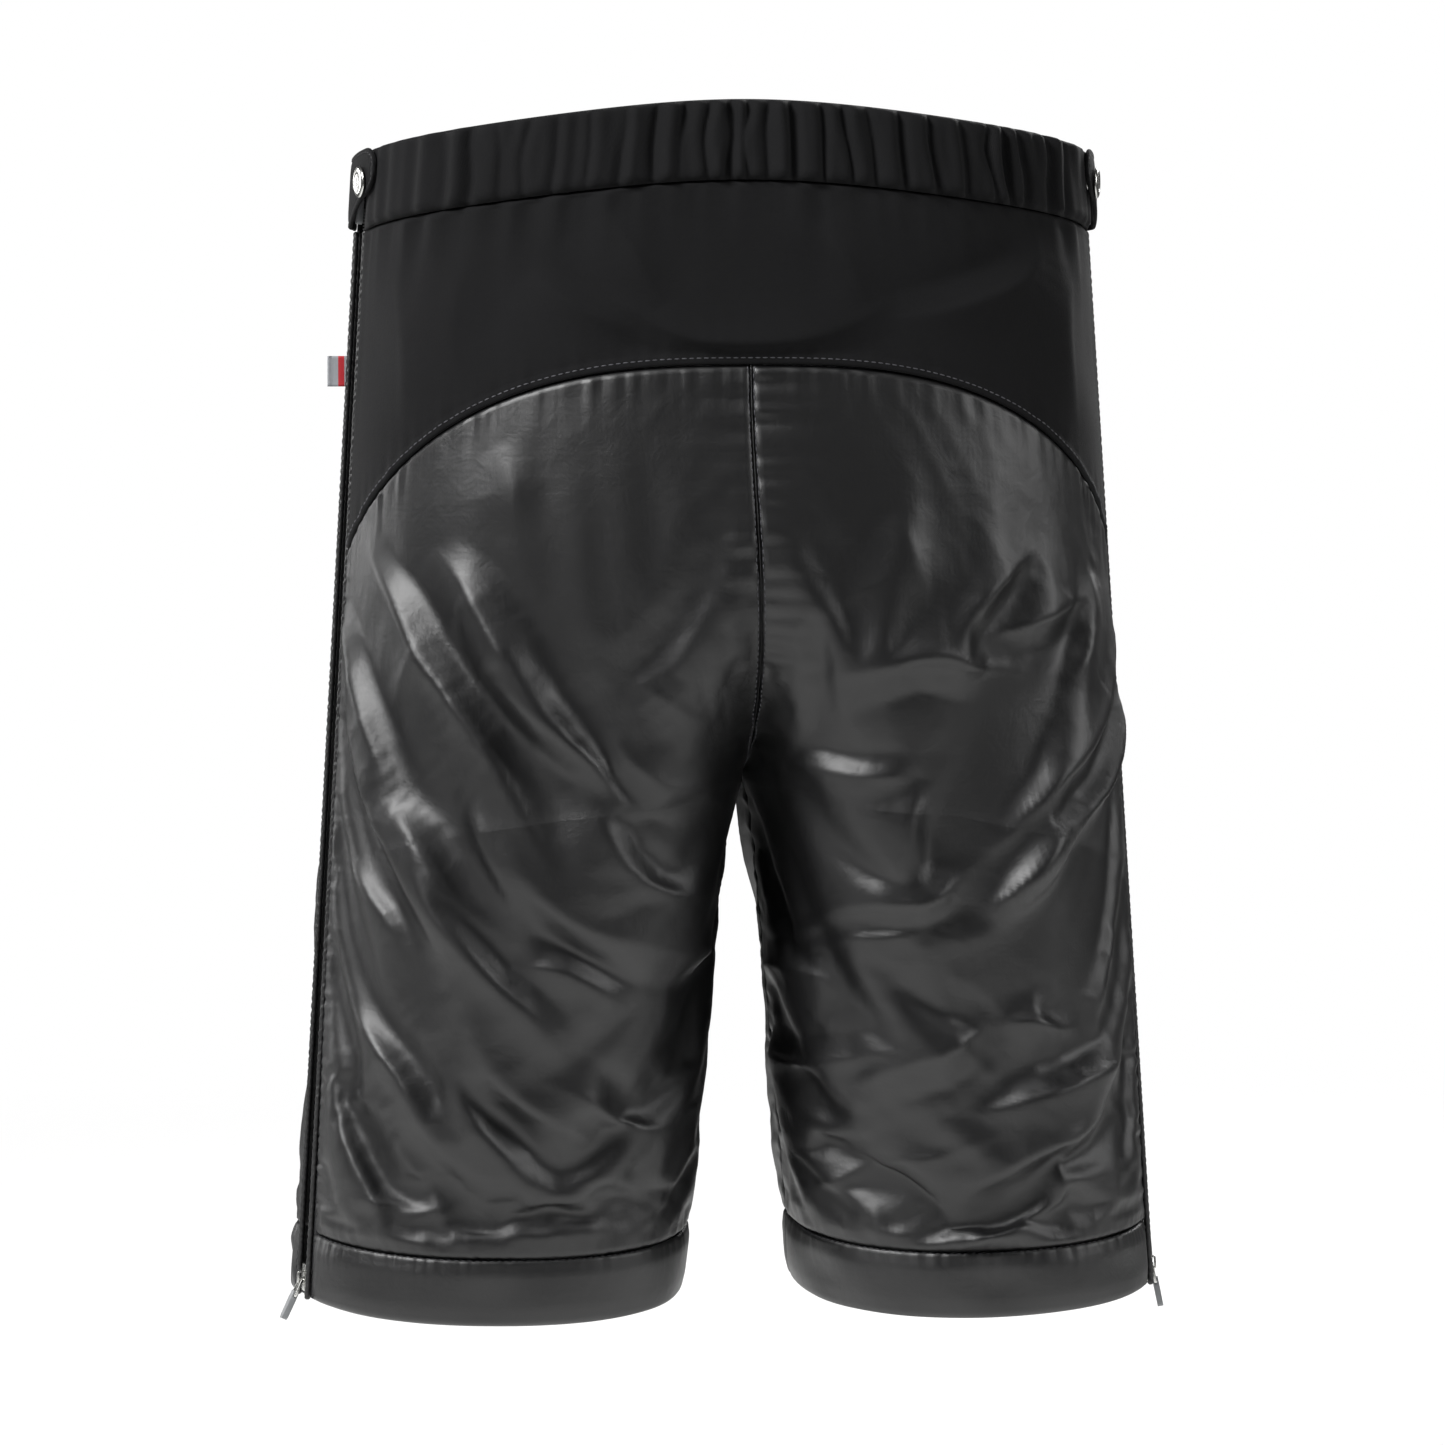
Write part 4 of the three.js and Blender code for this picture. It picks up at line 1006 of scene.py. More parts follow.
def acrossMiddle(face, columns, z):  # sides and turns of a piece that crosses the middle
    side = np.where(columns < 0, -1, 1) + 0 * z.astype(int)
    return side, panelTurn(face, np.abs(columns) + 0 * z, z)


yoke = {
    "columns": 130,
    "rows": 84,
    "foldGain": 1.9,  # how much higher the folds are made
    "seamCalm": 9,
    "edgeCalm": 2.5,
    "bandPucker": (1.1, 17, 22),  # height, reach and wavelength
    "archPucker": (0.35, 8, 12),
    # The welt over the seam allowance of the arched seam: height, width and slope.
    "welt": (0.5, 4.6, 1.6),
    "rim": (0.9, 1.4),  # how far the edges roll in, and over what distance
    "deepest": 1.6,
    # Broad soft folds: (x, z) points, height, width, side of the hollow.
    "folds": [
        ([(84, -66), (58, -88), (28, -104), (-6, -107), (-40, -100), (-66, -86)], 3.4, 7.0, 1),
        ([(96, -74), (70, -92), (48, -100)], 2.0, 6.0, -1),
        ([(-134, -50), (-124, -76), (-92, -90), (-60, -96)], 2.6, 7.0, 1),
        ([(60, -48), (46, -72), (38, -90)], 1.6, 8.0, -1),
        ([(-30, -52), (-44, -74), (-50, -90)], 1.6, 8.0, 1),
        ([(150, -70), (147, -110), (150, -150)], 1.6, 8.0, 1),
        ([(118, -60), (126, -100), (122, -128)], 1.2, 9.0, -1),
        ([(-150, -66), (-146, -104), (-152, -150)], 1.8, 8.0, -1),
    ],
}
column = bothSides(yoke["columns"])[:, None]
high = bandBottom("back", np.abs(column)) - g["seamGap"]
low = archSeam(np.abs(column))
z = lerp(high, low, np.linspace(0, 1, yoke["rows"])[None, :])
side, turn = acrossMiddle("back", column, z)
base = skin(side, turn, z, 0)
arc = arcLengths(base, 0)
flat = np.stack([base[..., 0], z], -1)
raised = yoke["foldGain"] * sum(foldHeight(flat, *fold) for fold in yoke["folds"])
fromBand, fromArch = high - z, (z - low) * 0.85  # the arch slopes, so the seam is nearer
edge = np.minimum.reduce([fromBand, fromArch, arc, arc[-1:] - arc])
raised *= smoothstep(edge, 0, yoke["seamCalm"])
calm = smoothstep(edge, 0, yoke["edgeCalm"])
for distance, key, seed in ((fromBand, "bandPucker", 71), (fromArch, "archPucker", 75)):
    gain, reach, wavelength = yoke[key]
    raised += gain * puckers(distance, arc[:, :1] + 0 * z, reach, wavelength, seed) * calm
height, width, slope = yoke["welt"]
raised += height * smoothstep(width - fromArch, 0, slope)
raised -= yoke["rim"][0] * rollIn(edge, yoke["rim"][1])
raised = np.maximum(raised, -yoke["deepest"])
outer = skin(side, turn, z, -raised)
inner = skin(side, turn, z, g["yokeThickness"] - raised)
piece = closedGrid("backYoke", outer, inner, finishes["softshell"], np.stack([arc, z], -1))
grids["backYoke"] = outer
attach(piece, "shorts")
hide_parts("back_yoke")

# Waistbands: one strip folded over at the top, gathered on its elastic behind.
band = {
    "columns": 190,
    "faceRows": 14,
    "foldRows": 7,
    "gatherHeight": 3.1,
    "plainHeight": 0.8,  # the flat front band's waviness
    "creaseWidth": 1.7,
    # The cloth bulges beside a crease: share of the crease, distance from it and width.
    "bulge": (0.4, 4.5, 2.6),
    "endCalm": 12,
    # Places across the back where the cloth is drawn in sharply, in millimetres from the middle.
    "creases": [
        (132, 0.5), (121, 0.6), (108, 0.45), (97, 0.6), (84, 0.5), (70, 0.55), (55, 0.6),
        (41, 0.7), (30, 0.5), (18, 0.7), (7, 1.0), (1, 0.7), (-9, 0.5), (-20, 1.0), (-34, 0.9),
        (-45, 1.0), (-56, 0.6), (-70, 0.7), (-84, 1.0), (-98, 0.7), (-111, 1.0), (-118, 1.0),
        (-125, 1.0), (-138, 0.9), (-147, 0.8),
    ],
}


def makeBand(face):
    column = bothSides(band["columns"])[:, None]
    top = bandTop(face, np.abs(column))
    wide = g["bandThickness"]
    radius = wide / 2
    down = np.linspace(1, 0, band["faceRows"])
    bend = np.linspace(0, np.pi, band["foldRows"] + 2)[1:-1]
    # The strip's own path: up its outer face, over the fold and down its inner one.
    drop = np.concatenate([
        radius + down * (g["bandHeight"] - radius),
        radius - radius * np.sin(bend),
        radius + down[::-1] * (g["bandHeight"] - radius),
    ])
    depth = np.concatenate([0 * down, radius - radius * np.cos(bend), 0 * down + wide])
    z = top - drop[None, :]
    side, turn = acrossMiddle(face, column, z)
    base = skin(side, turn, z, 0)
    arc = arcLengths(base, 0)
    middle = arc[:, :1] - arc[len(arc) // 2, 0]
    if face == "back":
        gather = 0.8 + 0.3 * waves(middle, 15, 81) + 0.0 * z
        for place, sharpness in band["creases"]:
            gap = base[:, :1, 0] - place - 1.3 * waves(drop / 16, 3, int(place) + 400)[None, :]
            gather = gather - sharpness * np.exp(-np.abs(gap / band["creaseWidth"]) ** 1.3)
            bulge, beside, width = band["bulge"]
            swell = np.exp(-(((np.abs(gap) - beside) / width) ** 2))
            gather = gather + bulge * sharpness * swell
        height = band["gatherHeight"]
    else:
        gather = 0.3 + 0.3 * waves(middle, 60, 83) + 0 * z
        height = band["plainHeight"]
    calm = smoothstep(g["bandHeight"] - drop, 0, 3)[None, :] * 0.75 + 0.25
    ends = smoothstep(np.minimum(arc, arc[-1:] - arc), 0, band["endCalm"])
    gather = height * np.clip(gather, -0.05, 1.6) * calm * ends
    outside = np.where(depth < radius, 1, -1)[None, :]
    share = np.abs(depth - radius)[None, :] / radius
    outer = skin(side, turn, z, depth[None, :] - outside * share * gather)
    # The same path one wall thickness further in.
    wall = g["bandWall"]
    inDrop = np.concatenate([
        drop[: band["faceRows"]],
        radius - (radius - wall) * np.sin(bend),
        drop[-band["faceRows"] :],
    ])
    inDepth = np.concatenate([
        wall + 0 * down, radius - (radius - wall) * np.cos(bend), wide - wall + 0 * down
    ])
    inner = skin(side, turn, top - inDrop[None, :], inDepth[None, :] - outside * share * gather)
    cloth = np.concatenate([[0], np.cumsum(np.hypot(np.diff(drop), np.diff(depth)))])
    uv = np.stack([arc + 0 * z, cloth[None, :] + 0 * z], -1)
    piece = closedGrid(f"{face}Waistband", outer, inner, finishes["softshell"], uv)
    grids[f"{face}Waistband"] = outer
    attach(piece, "shorts")
    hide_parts(f"{face}_waistband")


makeBand("back")
makeBand("front")

# Seam allowances: narrow strips that lie behind the seams and close them.
seamStrip = {"thickness": 0.6, "columns": 70, "rows": 6}


def seamAllowance(name, face, seam, above, below, top):
    # above and below are how far it reaches past the seam, and top is its depth.
    column = bothSides(seamStrip["columns"])[:, None]
    z = seam(np.abs(column)) + np.linspace(above, -below, seamStrip["rows"])[None, :]
    side, turn = acrossMiddle(face, column, z)
    outer, inner = [skin(side, turn, z, depth) for depth in (top, top + seamStrip["thickness"])]
    uv = np.stack([arcLengths(skin(side, turn, z, 0), 0), z], -1)
    piece = closedGrid(name, outer, inner, finishes["softshell"], uv)
    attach(piece, "shorts")


backSeam, frontSeam = [lambda c, face=face: bandBottom(face, c) for face in ("back", "front")]
seamAllowance("waistSeamAllowance", "back", backSeam, 4.5, 6.0, 1.7)
seamAllowance("frontSeamAllowance", "front", frontSeam, 9.7, 0.35, 1.9)
seamAllowance("archSeamAllowance", "back", archSeam, 9.7, 0.35, 2.9)

# A thin fin in each centre seam, where the edges of the two halves are sewn together.
fin = {"half": 0.19, "top": 0.7, "bottom": 8.0, "above": 0.6, "endsAbove": 2, "levels": 90}
for face, inward in (("back", -1), ("front", 1)):
    seam = archSeam(0.0) if face == "back" else bandBottom("front", 0.0)
    levels = np.linspace(float(seam) - fin["above"], crotchZ + fin["endsAbove"], fin["levels"])
    seamTurn = panelTurn(face, 0 * levels, levels)
    middle = (skin(1, seamTurn, levels, 0) + skin(-1, seamTurn, levels, 0)) / 2
    rings = np.stack([
        middle + np.array([x, inward * depth, 0])
        for x, depth in (
            (-fin["half"], fin["top"]), (fin["half"], fin["top"]),
            (fin["half"], fin["bottom"]), (-fin["half"], fin["bottom"]),
        )
    ], 1)
    uv = np.stack(np.broadcast_arrays(np.arange(4.0)[None, :], levels[:, None]), -1)
    piece = tubeMesh(f"{face}SeamFin", rings, finishes["nylon"], uv)
    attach(piece, "shorts")

# The elastic inside the back waistband.
elastic = {"columns": 60, "rows": 16, "drop": 1.9, "width": 27, "outer": 1.5, "inner": 3.0}
column = bothSides(elastic["columns"])[:, None]
top = bandTop("back", np.abs(column)) - elastic["drop"]
z = top - elastic["width"] * np.linspace(0, 1, elastic["rows"])[None, :]
side, turn = acrossMiddle("back", column, z)
uv = np.stack([arcLengths(skin(side, turn, z, 0), 0), z], -1)
outer, inner = [skin(side, turn, z, elastic[key]) for key in ("outer", "inner")]
piece = closedGrid("waistElastic", outer, inner, finishes["elastic"], uv)
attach(piece, "shorts")
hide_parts("waist_elastic")

# The side zips run straight, so each has its own frame: across the garment, out of it and up.
zipParts = {
    "tapeWidth": 7.5,
    "tapeThickness": 0.6,
    "coilWidth": 2.9,
    "coilBase": 0.3,
    "coilHeight": 1.6,
    "centreGap": 0.6,
    "stopLength": 2.6,
    "pipingRadius": 1.5,
    "pipingPlace": 9.3,
    "flapHalfWidth": 14,
    "flapDepth": -7.8,
    "toothPitch": 1.5,
    "toothLength": 2.7,
    "toothThickness": 1.15,
    "toothSlant": 24,  # degrees, which gives the chain its herringbone
    "tapeArea": 0.96,  # the share of the tape that is cloth in one layer
    "rucheStep": 0.62,
    "rucheTurn": 1.9,  # radians of the piping's creases for each millimetre
    "rucheSeed": 577,
}


def zipFrame(side):
    topX, topY = zipAt(0.0)
    lowX, lowY = zipAt(float(hemZ))
    endX, endY = zipAt(float(hemZ + g["hemRise"]))
    up = Vector((side * (topX - lowX), topY - lowY, -hemZ)).normalized()
    facing = math.radians(g["zipFacing"])
    out = Vector((side * math.cos(facing), math.sin(facing), 0))
    out = (out - up * out.dot(up)).normalized()
    origin = Vector((side * endX, endY, hemZ + g["hemRise"])) - out * g["zipSink"]
    return {"origin": origin, "across": out.cross(up), "out": out, "up": up, "backwards": -side}


def zipPoints(zipPlace, x, y, z):
    x, y, z = np.broadcast_arrays(np.asarray(x, float), np.asarray(y, float), np.asarray(z, float))
    axes = [np.array(zipPlace[key]) for key in ("across", "out", "up")]
    return (
        np.array(zipPlace["origin"])
        + x[..., None] * axes[0] + y[..., None] * axes[1] + z[..., None] * axes[2]
    )


def upTheZip(z, zipPlace):
    return (z - zipPlace["origin"].z) / zipPlace["up"].z


def stripAlong(name, zipPlace, section, levels, finish, waver=None):
    # A strip of one section along the zip; waver moves its points a little.
    section = np.array(section, float)
    x = section[None, :, 0] + 0 * levels[:, None]
    y = section[None, :, 1] + 0 * levels[:, None]
    if waver is not None:
        y = y + waver(x, levels[:, None])
    rings = zipPoints(zipPlace, x, y, levels[:, None])
    around = np.concatenate([[0], np.cumsum(np.linalg.norm(np.diff(section, axis=0), axis=1))])
    uv = np.stack(np.broadcast_arrays(around[None, :], levels[:, None]), -1)
    return tubeMesh(name, rings, finishes[finish], uv)


def flatSection(x0, x1, low, high, count=9):
    # Across one face of a strip and back across the other, with rounded edges.
    xs = np.linspace(x0, x1, count)
    inset = 0.35 * (high - low)
    middle = (low + high) / 2
    tops = [(x, high - inset * (i in (0, count - 1))) for i, x in enumerate(xs)]
    lows = [(x, low + inset * (i in (0, count - 1))) for i, x in enumerate(xs)]
    return [*tops, (x1 + math.copysign(0.1, x1 - x0), middle), *lows[::-1]]


zips = {}
for hand, side in hands.items():
    zipPlace = zips[hand] = zipFrame(side)
    length = upTheZip(float(waistEdge(0.5)) - g["zipTopSpace"], zipPlace)
    zipPlace["length"] = length
    pipingLength = upTheZip(float(waistEdge(0.5)) - g["bandHeight"] - g["seamGap"], zipPlace)
    zipPlace["pipingLength"] = pipingLength
    for face, sign in (("back", zipPlace["backwards"]), ("front", -zipPlace["backwards"])):
        title = f"{face}{hand.capitalize()}"
        levels = np.linspace(0, length, 120)
        section = flatSection(
            sign * zipParts["centreGap"], sign * (zipParts["tapeWidth"] - 0.1),
            -zipParts["tapeThickness"], 0, 12,
        )
        tape = stripAlong(f"{title}Tape", zipPlace, section, levels, "tape")
        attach(tape, "shorts")
        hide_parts(f"zip_tape_{face}_{hand}")

        # Piping: bias-cut nylon drawn tight round a cord, so it is ruched like a rope.
        levels = np.linspace(0, pipingLength, int(pipingLength / zipParts["rucheStep"]))[:, None]
        angle = np.linspace(0, 2 * np.pi, 14, endpoint=False)[None, :]
        seed = zipParts["rucheSeed"]
        lay = 2 * angle * sign + levels * zipParts["rucheTurn"] + 1.6 * waves(levels, 26, seed)
        ruche = 0.5 + 0.5 * np.sin(lay)
        radius = zipParts["pipingRadius"] * (
            0.93 - 0.17 * ruche**2 + 0.05 * waves(levels, 5, seed + 1)
        )
        radius = radius * (1 - 0.5 * smoothstep(np.abs(levels / pipingLength - 0.5), 0.4985, 0.5))
        x = sign * zipParts["pipingPlace"] + radius * np.cos(angle)
        y = g["zipSink"] - zipParts["pipingRadius"] / 3 + radius * np.sin(angle)
        rings = zipPoints(zipPlace, x, y, levels)
        uv = np.stack(np.broadcast_arrays(angle * 1.5, levels), -1)
        piping = tubeMesh(f"{title}Piping", rings, finishes["nylon"], uv)
        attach(piping, "shorts")
        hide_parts(f"piping_{face}_{hand}")

    levels = np.linspace(0, pipingLength, 150)
    half, depth = zipParts["flapHalfWidth"], zipParts["flapDepth"]
    flap = stripAlong(
        f"{hand}WindFlap", zipPlace, flatSection(-half, half, depth - 0.6, depth, 15), levels,
        "lining", lambda x, z: -0.7 * np.abs(waves(z, 45, 91) * waves(x + 40, 18, 92)),
    )
    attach(flap, "shorts")
    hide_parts(f"zip_flap_{hand}")
print("zip tapes, piping and flaps made")


# Repeated pieces, as Geometry Nodes


def newTree(name, sockets):
    tree = bpy.data.node_groups.new(name, "GeometryNodeTree")
    tree.interface.new_socket("Geometry", in_out="INPUT", socket_type="NodeSocketGeometry")
    for title, kind in sockets:
        tree.interface.new_socket(title, in_out="INPUT", socket_type=kind)
    tree.interface.new_socket("Geometry", in_out="OUTPUT", socket_type="NodeSocketGeometry")
    return tree, addNode(tree, "NodeGroupInput").outputs


def finishTree(tree, geometry, material):
    real = addNode(tree, "GeometryNodeRealizeInstances", {0: geometry}).outputs[0]
    smooth = addNode(tree, "GeometryNodeSetShadeSmooth", {0: real}).outputs[0]
    painted = addNode(
        tree, "GeometryNodeSetMaterial", {"Geometry": smooth, "Material": material}
    ).outputs[0]
    addNode(tree, "NodeGroupOutput", {0: painted})


def beadsTree():
    # Slim rounded beads set along lines: stitches, or the turns of a coil. The lines carry
    # the direction that each bead's upper side faces; turn swings a bead across its line.
    tree, given = newTree("beads along a line", [
        ("Pitch", "NodeSocketFloat"),
        ("Length", "NodeSocketFloat"),
        ("Width", "NodeSocketFloat"),
        ("Height", "NodeSocketFloat"),
        ("Turn", "NodeSocketFloat"),
        ("Material", "NodeSocketMaterial"),
    ])
    facing = addNode(tree, "GeometryNodeInputNamedAttribute", {"Name": "facing"},
                     data_type="FLOAT_VECTOR").outputs[0]
    curve = addNode(tree, "GeometryNodeMeshToCurve", {0: given["Geometry"]}).outputs[0]
    even = addNode(
        tree, "GeometryNodeResampleCurve", {"Curve": curve, "Length": given["Pitch"]},
        mode="LENGTH",
    ).outputs[0]
    tangent = addNode(tree, "GeometryNodeInputTangent").outputs[0]
    along = addNode(
        tree, "FunctionNodeAlignRotationToVector", {"Vector": tangent}, axis="X"
    ).outputs[0]
    upright = addNode(
        tree, "FunctionNodeAlignRotationToVector",
        {"Rotation": along, "Vector": facing}, axis="Z", pivot_axis="X",
    ).outputs[0]
    bead = addNode(
        tree, "GeometryNodeMeshUVSphere", {"Segments": 7, "Rings": 5, "Radius": 0.5}
    ).outputs[0]
    size = addNode(
        tree, "ShaderNodeCombineXYZ",
        {0: given["Length"], 1: given["Width"], 2: given["Height"]},
    ).outputs[0]
    swing = addNode(tree, "ShaderNodeCombineXYZ", {2: given["Turn"]}).outputs[0]
    sized = addNode(tree, "GeometryNodeTransform", {"Geometry": bead, "Scale": size}).outputs[0]
    swung = addNode(
        tree, "GeometryNodeTransform", {"Geometry": sized, "Rotation": swing}
    ).outputs[0]
    placed = addNode(
        tree, "GeometryNodeInstanceOnPoints",
        {"Points": even, "Instance": swung, "Rotation": upright},
    ).outputs[0]
    finishTree(tree, placed, given["Material"])
    return tree


beads = beadsTree()


def beadsAlong(name, lines, sizes, material, body, nodes=()):
    # lines: each a list of points with the outward direction there, in millimetres.
    points, facings, edges = [], [], []
    for line, facing in lines:
        start = len(points)
        points += (np.asarray(line) * mm).tolist()
        facings += np.broadcast_to(facing, np.shape(line)).tolist()
        edges += [(start + i, start + i + 1) for i in range(len(line) - 1)]
    mesh = bpy.data.meshes.new(name)
    mesh.from_pydata(points, edges, [])
    carried = mesh.attributes.new("facing", "FLOAT_VECTOR", "POINT")
    carried.data.foreach_set("vector", np.array(facings, float).ravel())
    draft = addObject(name + "Draft", mesh)
    modifier = draft.modifiers.new("beads", "NODES")
    modifier.node_group = beads
    values = {key.capitalize(): sizes[key] * mm for key in ("pitch", "length", "width", "height")}
    values["Turn"] = math.radians(sizes.get("turn", 0))
    values["Material"] = finishes[material]
    for item in beads.interface.items_tree:
        if item.in_out == "INPUT" and item.name in values:
            modifier[item.identifier] = values[item.name]
    piece = addObject(name, shapedMesh(draft, name))
    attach(piece, body)
    if nodes:
        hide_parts(*nodes)
    return piece


# Each half of a coil: its turns, slanted towards the middle.
for hand, zipPlace in zips.items():
    for face, sign in (("back", zipPlace["backwards"]), ("front", -zipPlace["backwards"])):
        inner = zipParts["centreGap"] - 0.25
        middle = sign * (inner + zipParts["coilWidth"]) / 2
        height = zipParts["coilBase"] + zipParts["coilHeight"] / 2
        levels = np.array([zipParts["stopLength"] + 0.8, zipPlace["length"] - 0.8])
        line = zipPoints(zipPlace, middle, height, levels)
        sizes = {
            "pitch": zipParts["toothPitch"],
            "length": zipParts["toothThickness"],
            "width": zipParts["toothLength"],
            "height": zipParts["coilHeight"] - 0.1,
            "turn": zipParts["toothSlant"] * sign,
        }
        beadsAlong(
            f"{face}{hand.capitalize()}Coil", [(line, tuple(zipPlace["out"]))], sizes, "coil",
            "shorts", [f"zip_coil_{face}_{hand}"],
        )
print("coils made")


def onGrid(grid, u, v):  # a point of a grid between its points, u and v from 0 to 1
    rows, columns = grid.shape[:2]
    a, b = np.asarray(u, float) * (rows - 1), np.asarray(v, float) * (columns - 1)
    i = np.clip(a.astype(int), 0, rows - 2)
    j = np.clip(b.astype(int), 0, columns - 2)
    s, t = (a - i)[..., None], (b - j)[..., None]
    return lerp(
        lerp(grid[i, j], grid[i + 1, j], s), lerp(grid[i, j + 1], grid[i + 1, j + 1], s), t
    )


def stitchLine(grid, u, v):
    # A line of stitches on a grid: its points and the outward directions there.
    points = onGrid(grid, u, v)
    du = onGrid(grid, np.clip(u + 0.004, 0, 1), v) - onGrid(grid, np.clip(u - 0.004, 0, 1), v)
    dv = onGrid(grid, u, np.clip(v + 0.008, 0, 1)) - onGrid(grid, u, np.clip(v - 0.008, 0, 1))
    normal = np.cross(du, dv)
    normal /= np.maximum(np.linalg.norm(normal, axis=-1, keepdims=True), 1e-9)
    outside = np.sign((normal[..., :2] * (points[..., :2] - grid[..., :2].mean((0, 1)))).sum(-1))
    normal *= np.where(np.median(outside) < 0, -1, 1)
    return points, normal


stitch = {
    "pitch": 3.2,
    "length": 2.5,
    "width": 0.55,
    "height": 0.5,
    # Distances from the edge that each line follows.
    "zipInset": 2.6,
    "yokeInset": 3.0,
    "seatInset": 1.3,
    "hemInset": 1.5,
}


def edgeRun(grid, where, inset, count=260):
    # A line inset millimetres from one edge of a grid: "first", "last", "top" or "bottom".
    t = np.linspace(0.004, 0.996, count)
    if where in ("top", "bottom"):
        lengths = arcLengths(grid, 1)
        share = inset / lengths[:, -1]
        offset = np.interp(t, np.linspace(0, 1, len(share)), share)
        return stitchLine(grid, t, offset if where == "top" else 1 - offset)
    lengths = arcLengths(grid, 0)
    steps = np.linspace(0, 1, grid.shape[0])
    picked = []
    for j in (t * (grid.shape[1] - 1)).astype(int):
        line = lengths[:, j]
        at = inset if where == "first" else line[-1] - inset
        picked.append(np.interp(at, line, steps))
    return stitchLine(grid, np.array(picked), t)


lines = [edgeRun(grids["backYoke"], "bottom", stitch["yokeInset"], 500)]
beadsAlong("yokeStitches", lines, stitch, "thread", "shorts")
lines = [
    edgeRun(grids[f"back{title}Panel"], "first", stitch["seatInset"], 400)
    for title in ("Left", "Right")
]
beadsAlong("seatSeamStitches", lines, stitch, "thread", "shorts")
lines = []
for face, hand in foldsOf:
    title = f"{face}{hand.capitalize()}"
    for part, where, inset, count in (
        ("Panel", "last", "zipInset", 400), ("Hem", "last", "zipInset", 40),
        ("Hem", "top", "hemInset", 260),
    ):
        lines.append(edgeRun(grids[title + part], where, stitch[inset], count))
beadsAlong("zipAndHemStitches", lines, stitch, "darkThread", "shorts")
print("stitches made")

# Waist tabs: softshell, from the front waistband back across the zip.
tab = {
    "root": -13,
    "tip": 31,
    "thickness": 2.0,
    "clearance": 0.4,
    "lift": 2.9,
    "tipHeight": 21,
    "corner": 10,
    "columns": 90,
    "rows": 44,
    "topstitch": 2.4,
    "edgeRoll": (0.9, 1.3),  # how far the edges roll in, and over what distance
    "ditch": (0.28, 0.7),  # depth and width of the line that the topstitching presses in
    "puff": 0.2,
    "belowTop": 1.5,
    "firstStitch": 4,
    "lastStitch": 16,  # columns before the tip
    "tipStitches": 20,
}
for hand, side in hands.items():
    # Columns crowd towards the rounded tip and stop just short of it.
    even = np.linspace(0, 1, tab["columns"])
    crowded = np.sin(np.linspace(0, np.pi / 2, tab["columns"]))
    t = (crowded * 0.9 + even * 0.1)[:, None] * 0.997
    place = lerp(tab["root"], tab["tip"], t)
    top = waistEdge(turnFromZip(place, float(waistEdge(0.5)))) - tab["belowTop"]
    height = lerp(g["bandHeight"] - 3, tab["tipHeight"], smoothstep(t, 0.1, 0.9))
    pastCorner = np.maximum(0, place - (tab["tip"] - tab["corner"])) / tab["corner"]
    trim = tab["corner"] * (1 - np.sqrt(1 - pastCorner**2))
    lift = lerp(tab["clearance"], tab["lift"], smoothstep(place, tab["root"], tab["root"] + 7))
    v = (1 - np.cos(np.pi * np.linspace(0, 1, tab["rows"]))) / 2
    z = lerp(top - trim, top - height + trim, v[None, :])
    turn = turnFromZip(place + 0 * z, z)
    base = skin(side, turn, z, 0)
    arc = arcLengths(base, 0)
    ends = np.minimum(arc, arc[-1:] - arc)
    sides = np.minimum(z[:, :1] - z, z - z[:, -1:]) + 0 * z
    edge = np.minimum(np.where(t < 0.5, 9, ends), sides)
    roll = tab["edgeRoll"][0] * rollIn(edge, tab["edgeRoll"][1])
    ditch = tab["ditch"][0] * np.exp(-(((edge - tab["topstitch"]) / tab["ditch"][1]) ** 2))
    puff = tab["puff"] * smoothstep(edge, tab["topstitch"], 8)
    depth = -lift - tab["thickness"] + roll + ditch - puff
    outer = skin(side, turn, z, depth)
    inner = skin(side, turn, z, -lift - 0.9 * roll)
    uv = np.stack([arc, z], -1)
    piece = closedGrid(f"{hand}WaistTab", outer, inner, finishes["softshell"], uv)
    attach(piece, f"tab_{hand}")
    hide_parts(f"waist_tab_{hand}")

    # Topstitching round the free edges.
    lengths = arcLengths(outer, 1)
    steps = np.linspace(0, 1, tab["rows"])
    stitched = np.arange(tab["firstStitch"], tab["columns"] - tab["lastStitch"])
    picked = []
    for line in lengths[stitched]:
        share = np.clip(tab["topstitch"] / max(line[-1], 6), 0, 0.5)
        picked.append(np.interp(share * line[-1], line, steps))
    upper = np.array(picked)
    u = stitched / (tab["columns"] - 1)
    tip = (tab["columns"] - tab["lastStitch"] + 1) / (tab["columns"] - 1)
    tipU = np.full(tab["tipStitches"], tip)
    tipV = np.linspace(upper[-1], 1 - upper[-1], tab["tipStitches"])
    allU = np.concatenate([u, tipU, u[::-1]])
    allV = np.concatenate([upper, tipV, 1 - upper[::-1]])
    beadsAlong(
        f"{hand}TabStitches", [stitchLine(outer, allU, allV)],
        {**stitch, "pitch": 2.4, "length": 1.8}, "darkThread", f"tab_{hand}",
    )
print("tabs made")


def turnedPiece(name, place, rows, material, segments=72):
    # A turned part on a snap's axis: rows of radius and height above the waistband.
    origin, axis = place
    axis = Vector(axis).normalized()
    first = axis.orthogonal().normalized()
    second = axis.cross(first)
    angle = np.linspace(0, 2 * np.pi, segments, endpoint=False)
    ring = np.cos(angle)[:, None] * np.array(first) + np.sin(angle)[:, None] * np.array(second)
    rings = np.array([origin + np.array(axis) * h + ring * r for r, h in rows])
    return tubeMesh(name, rings, finishes[material])


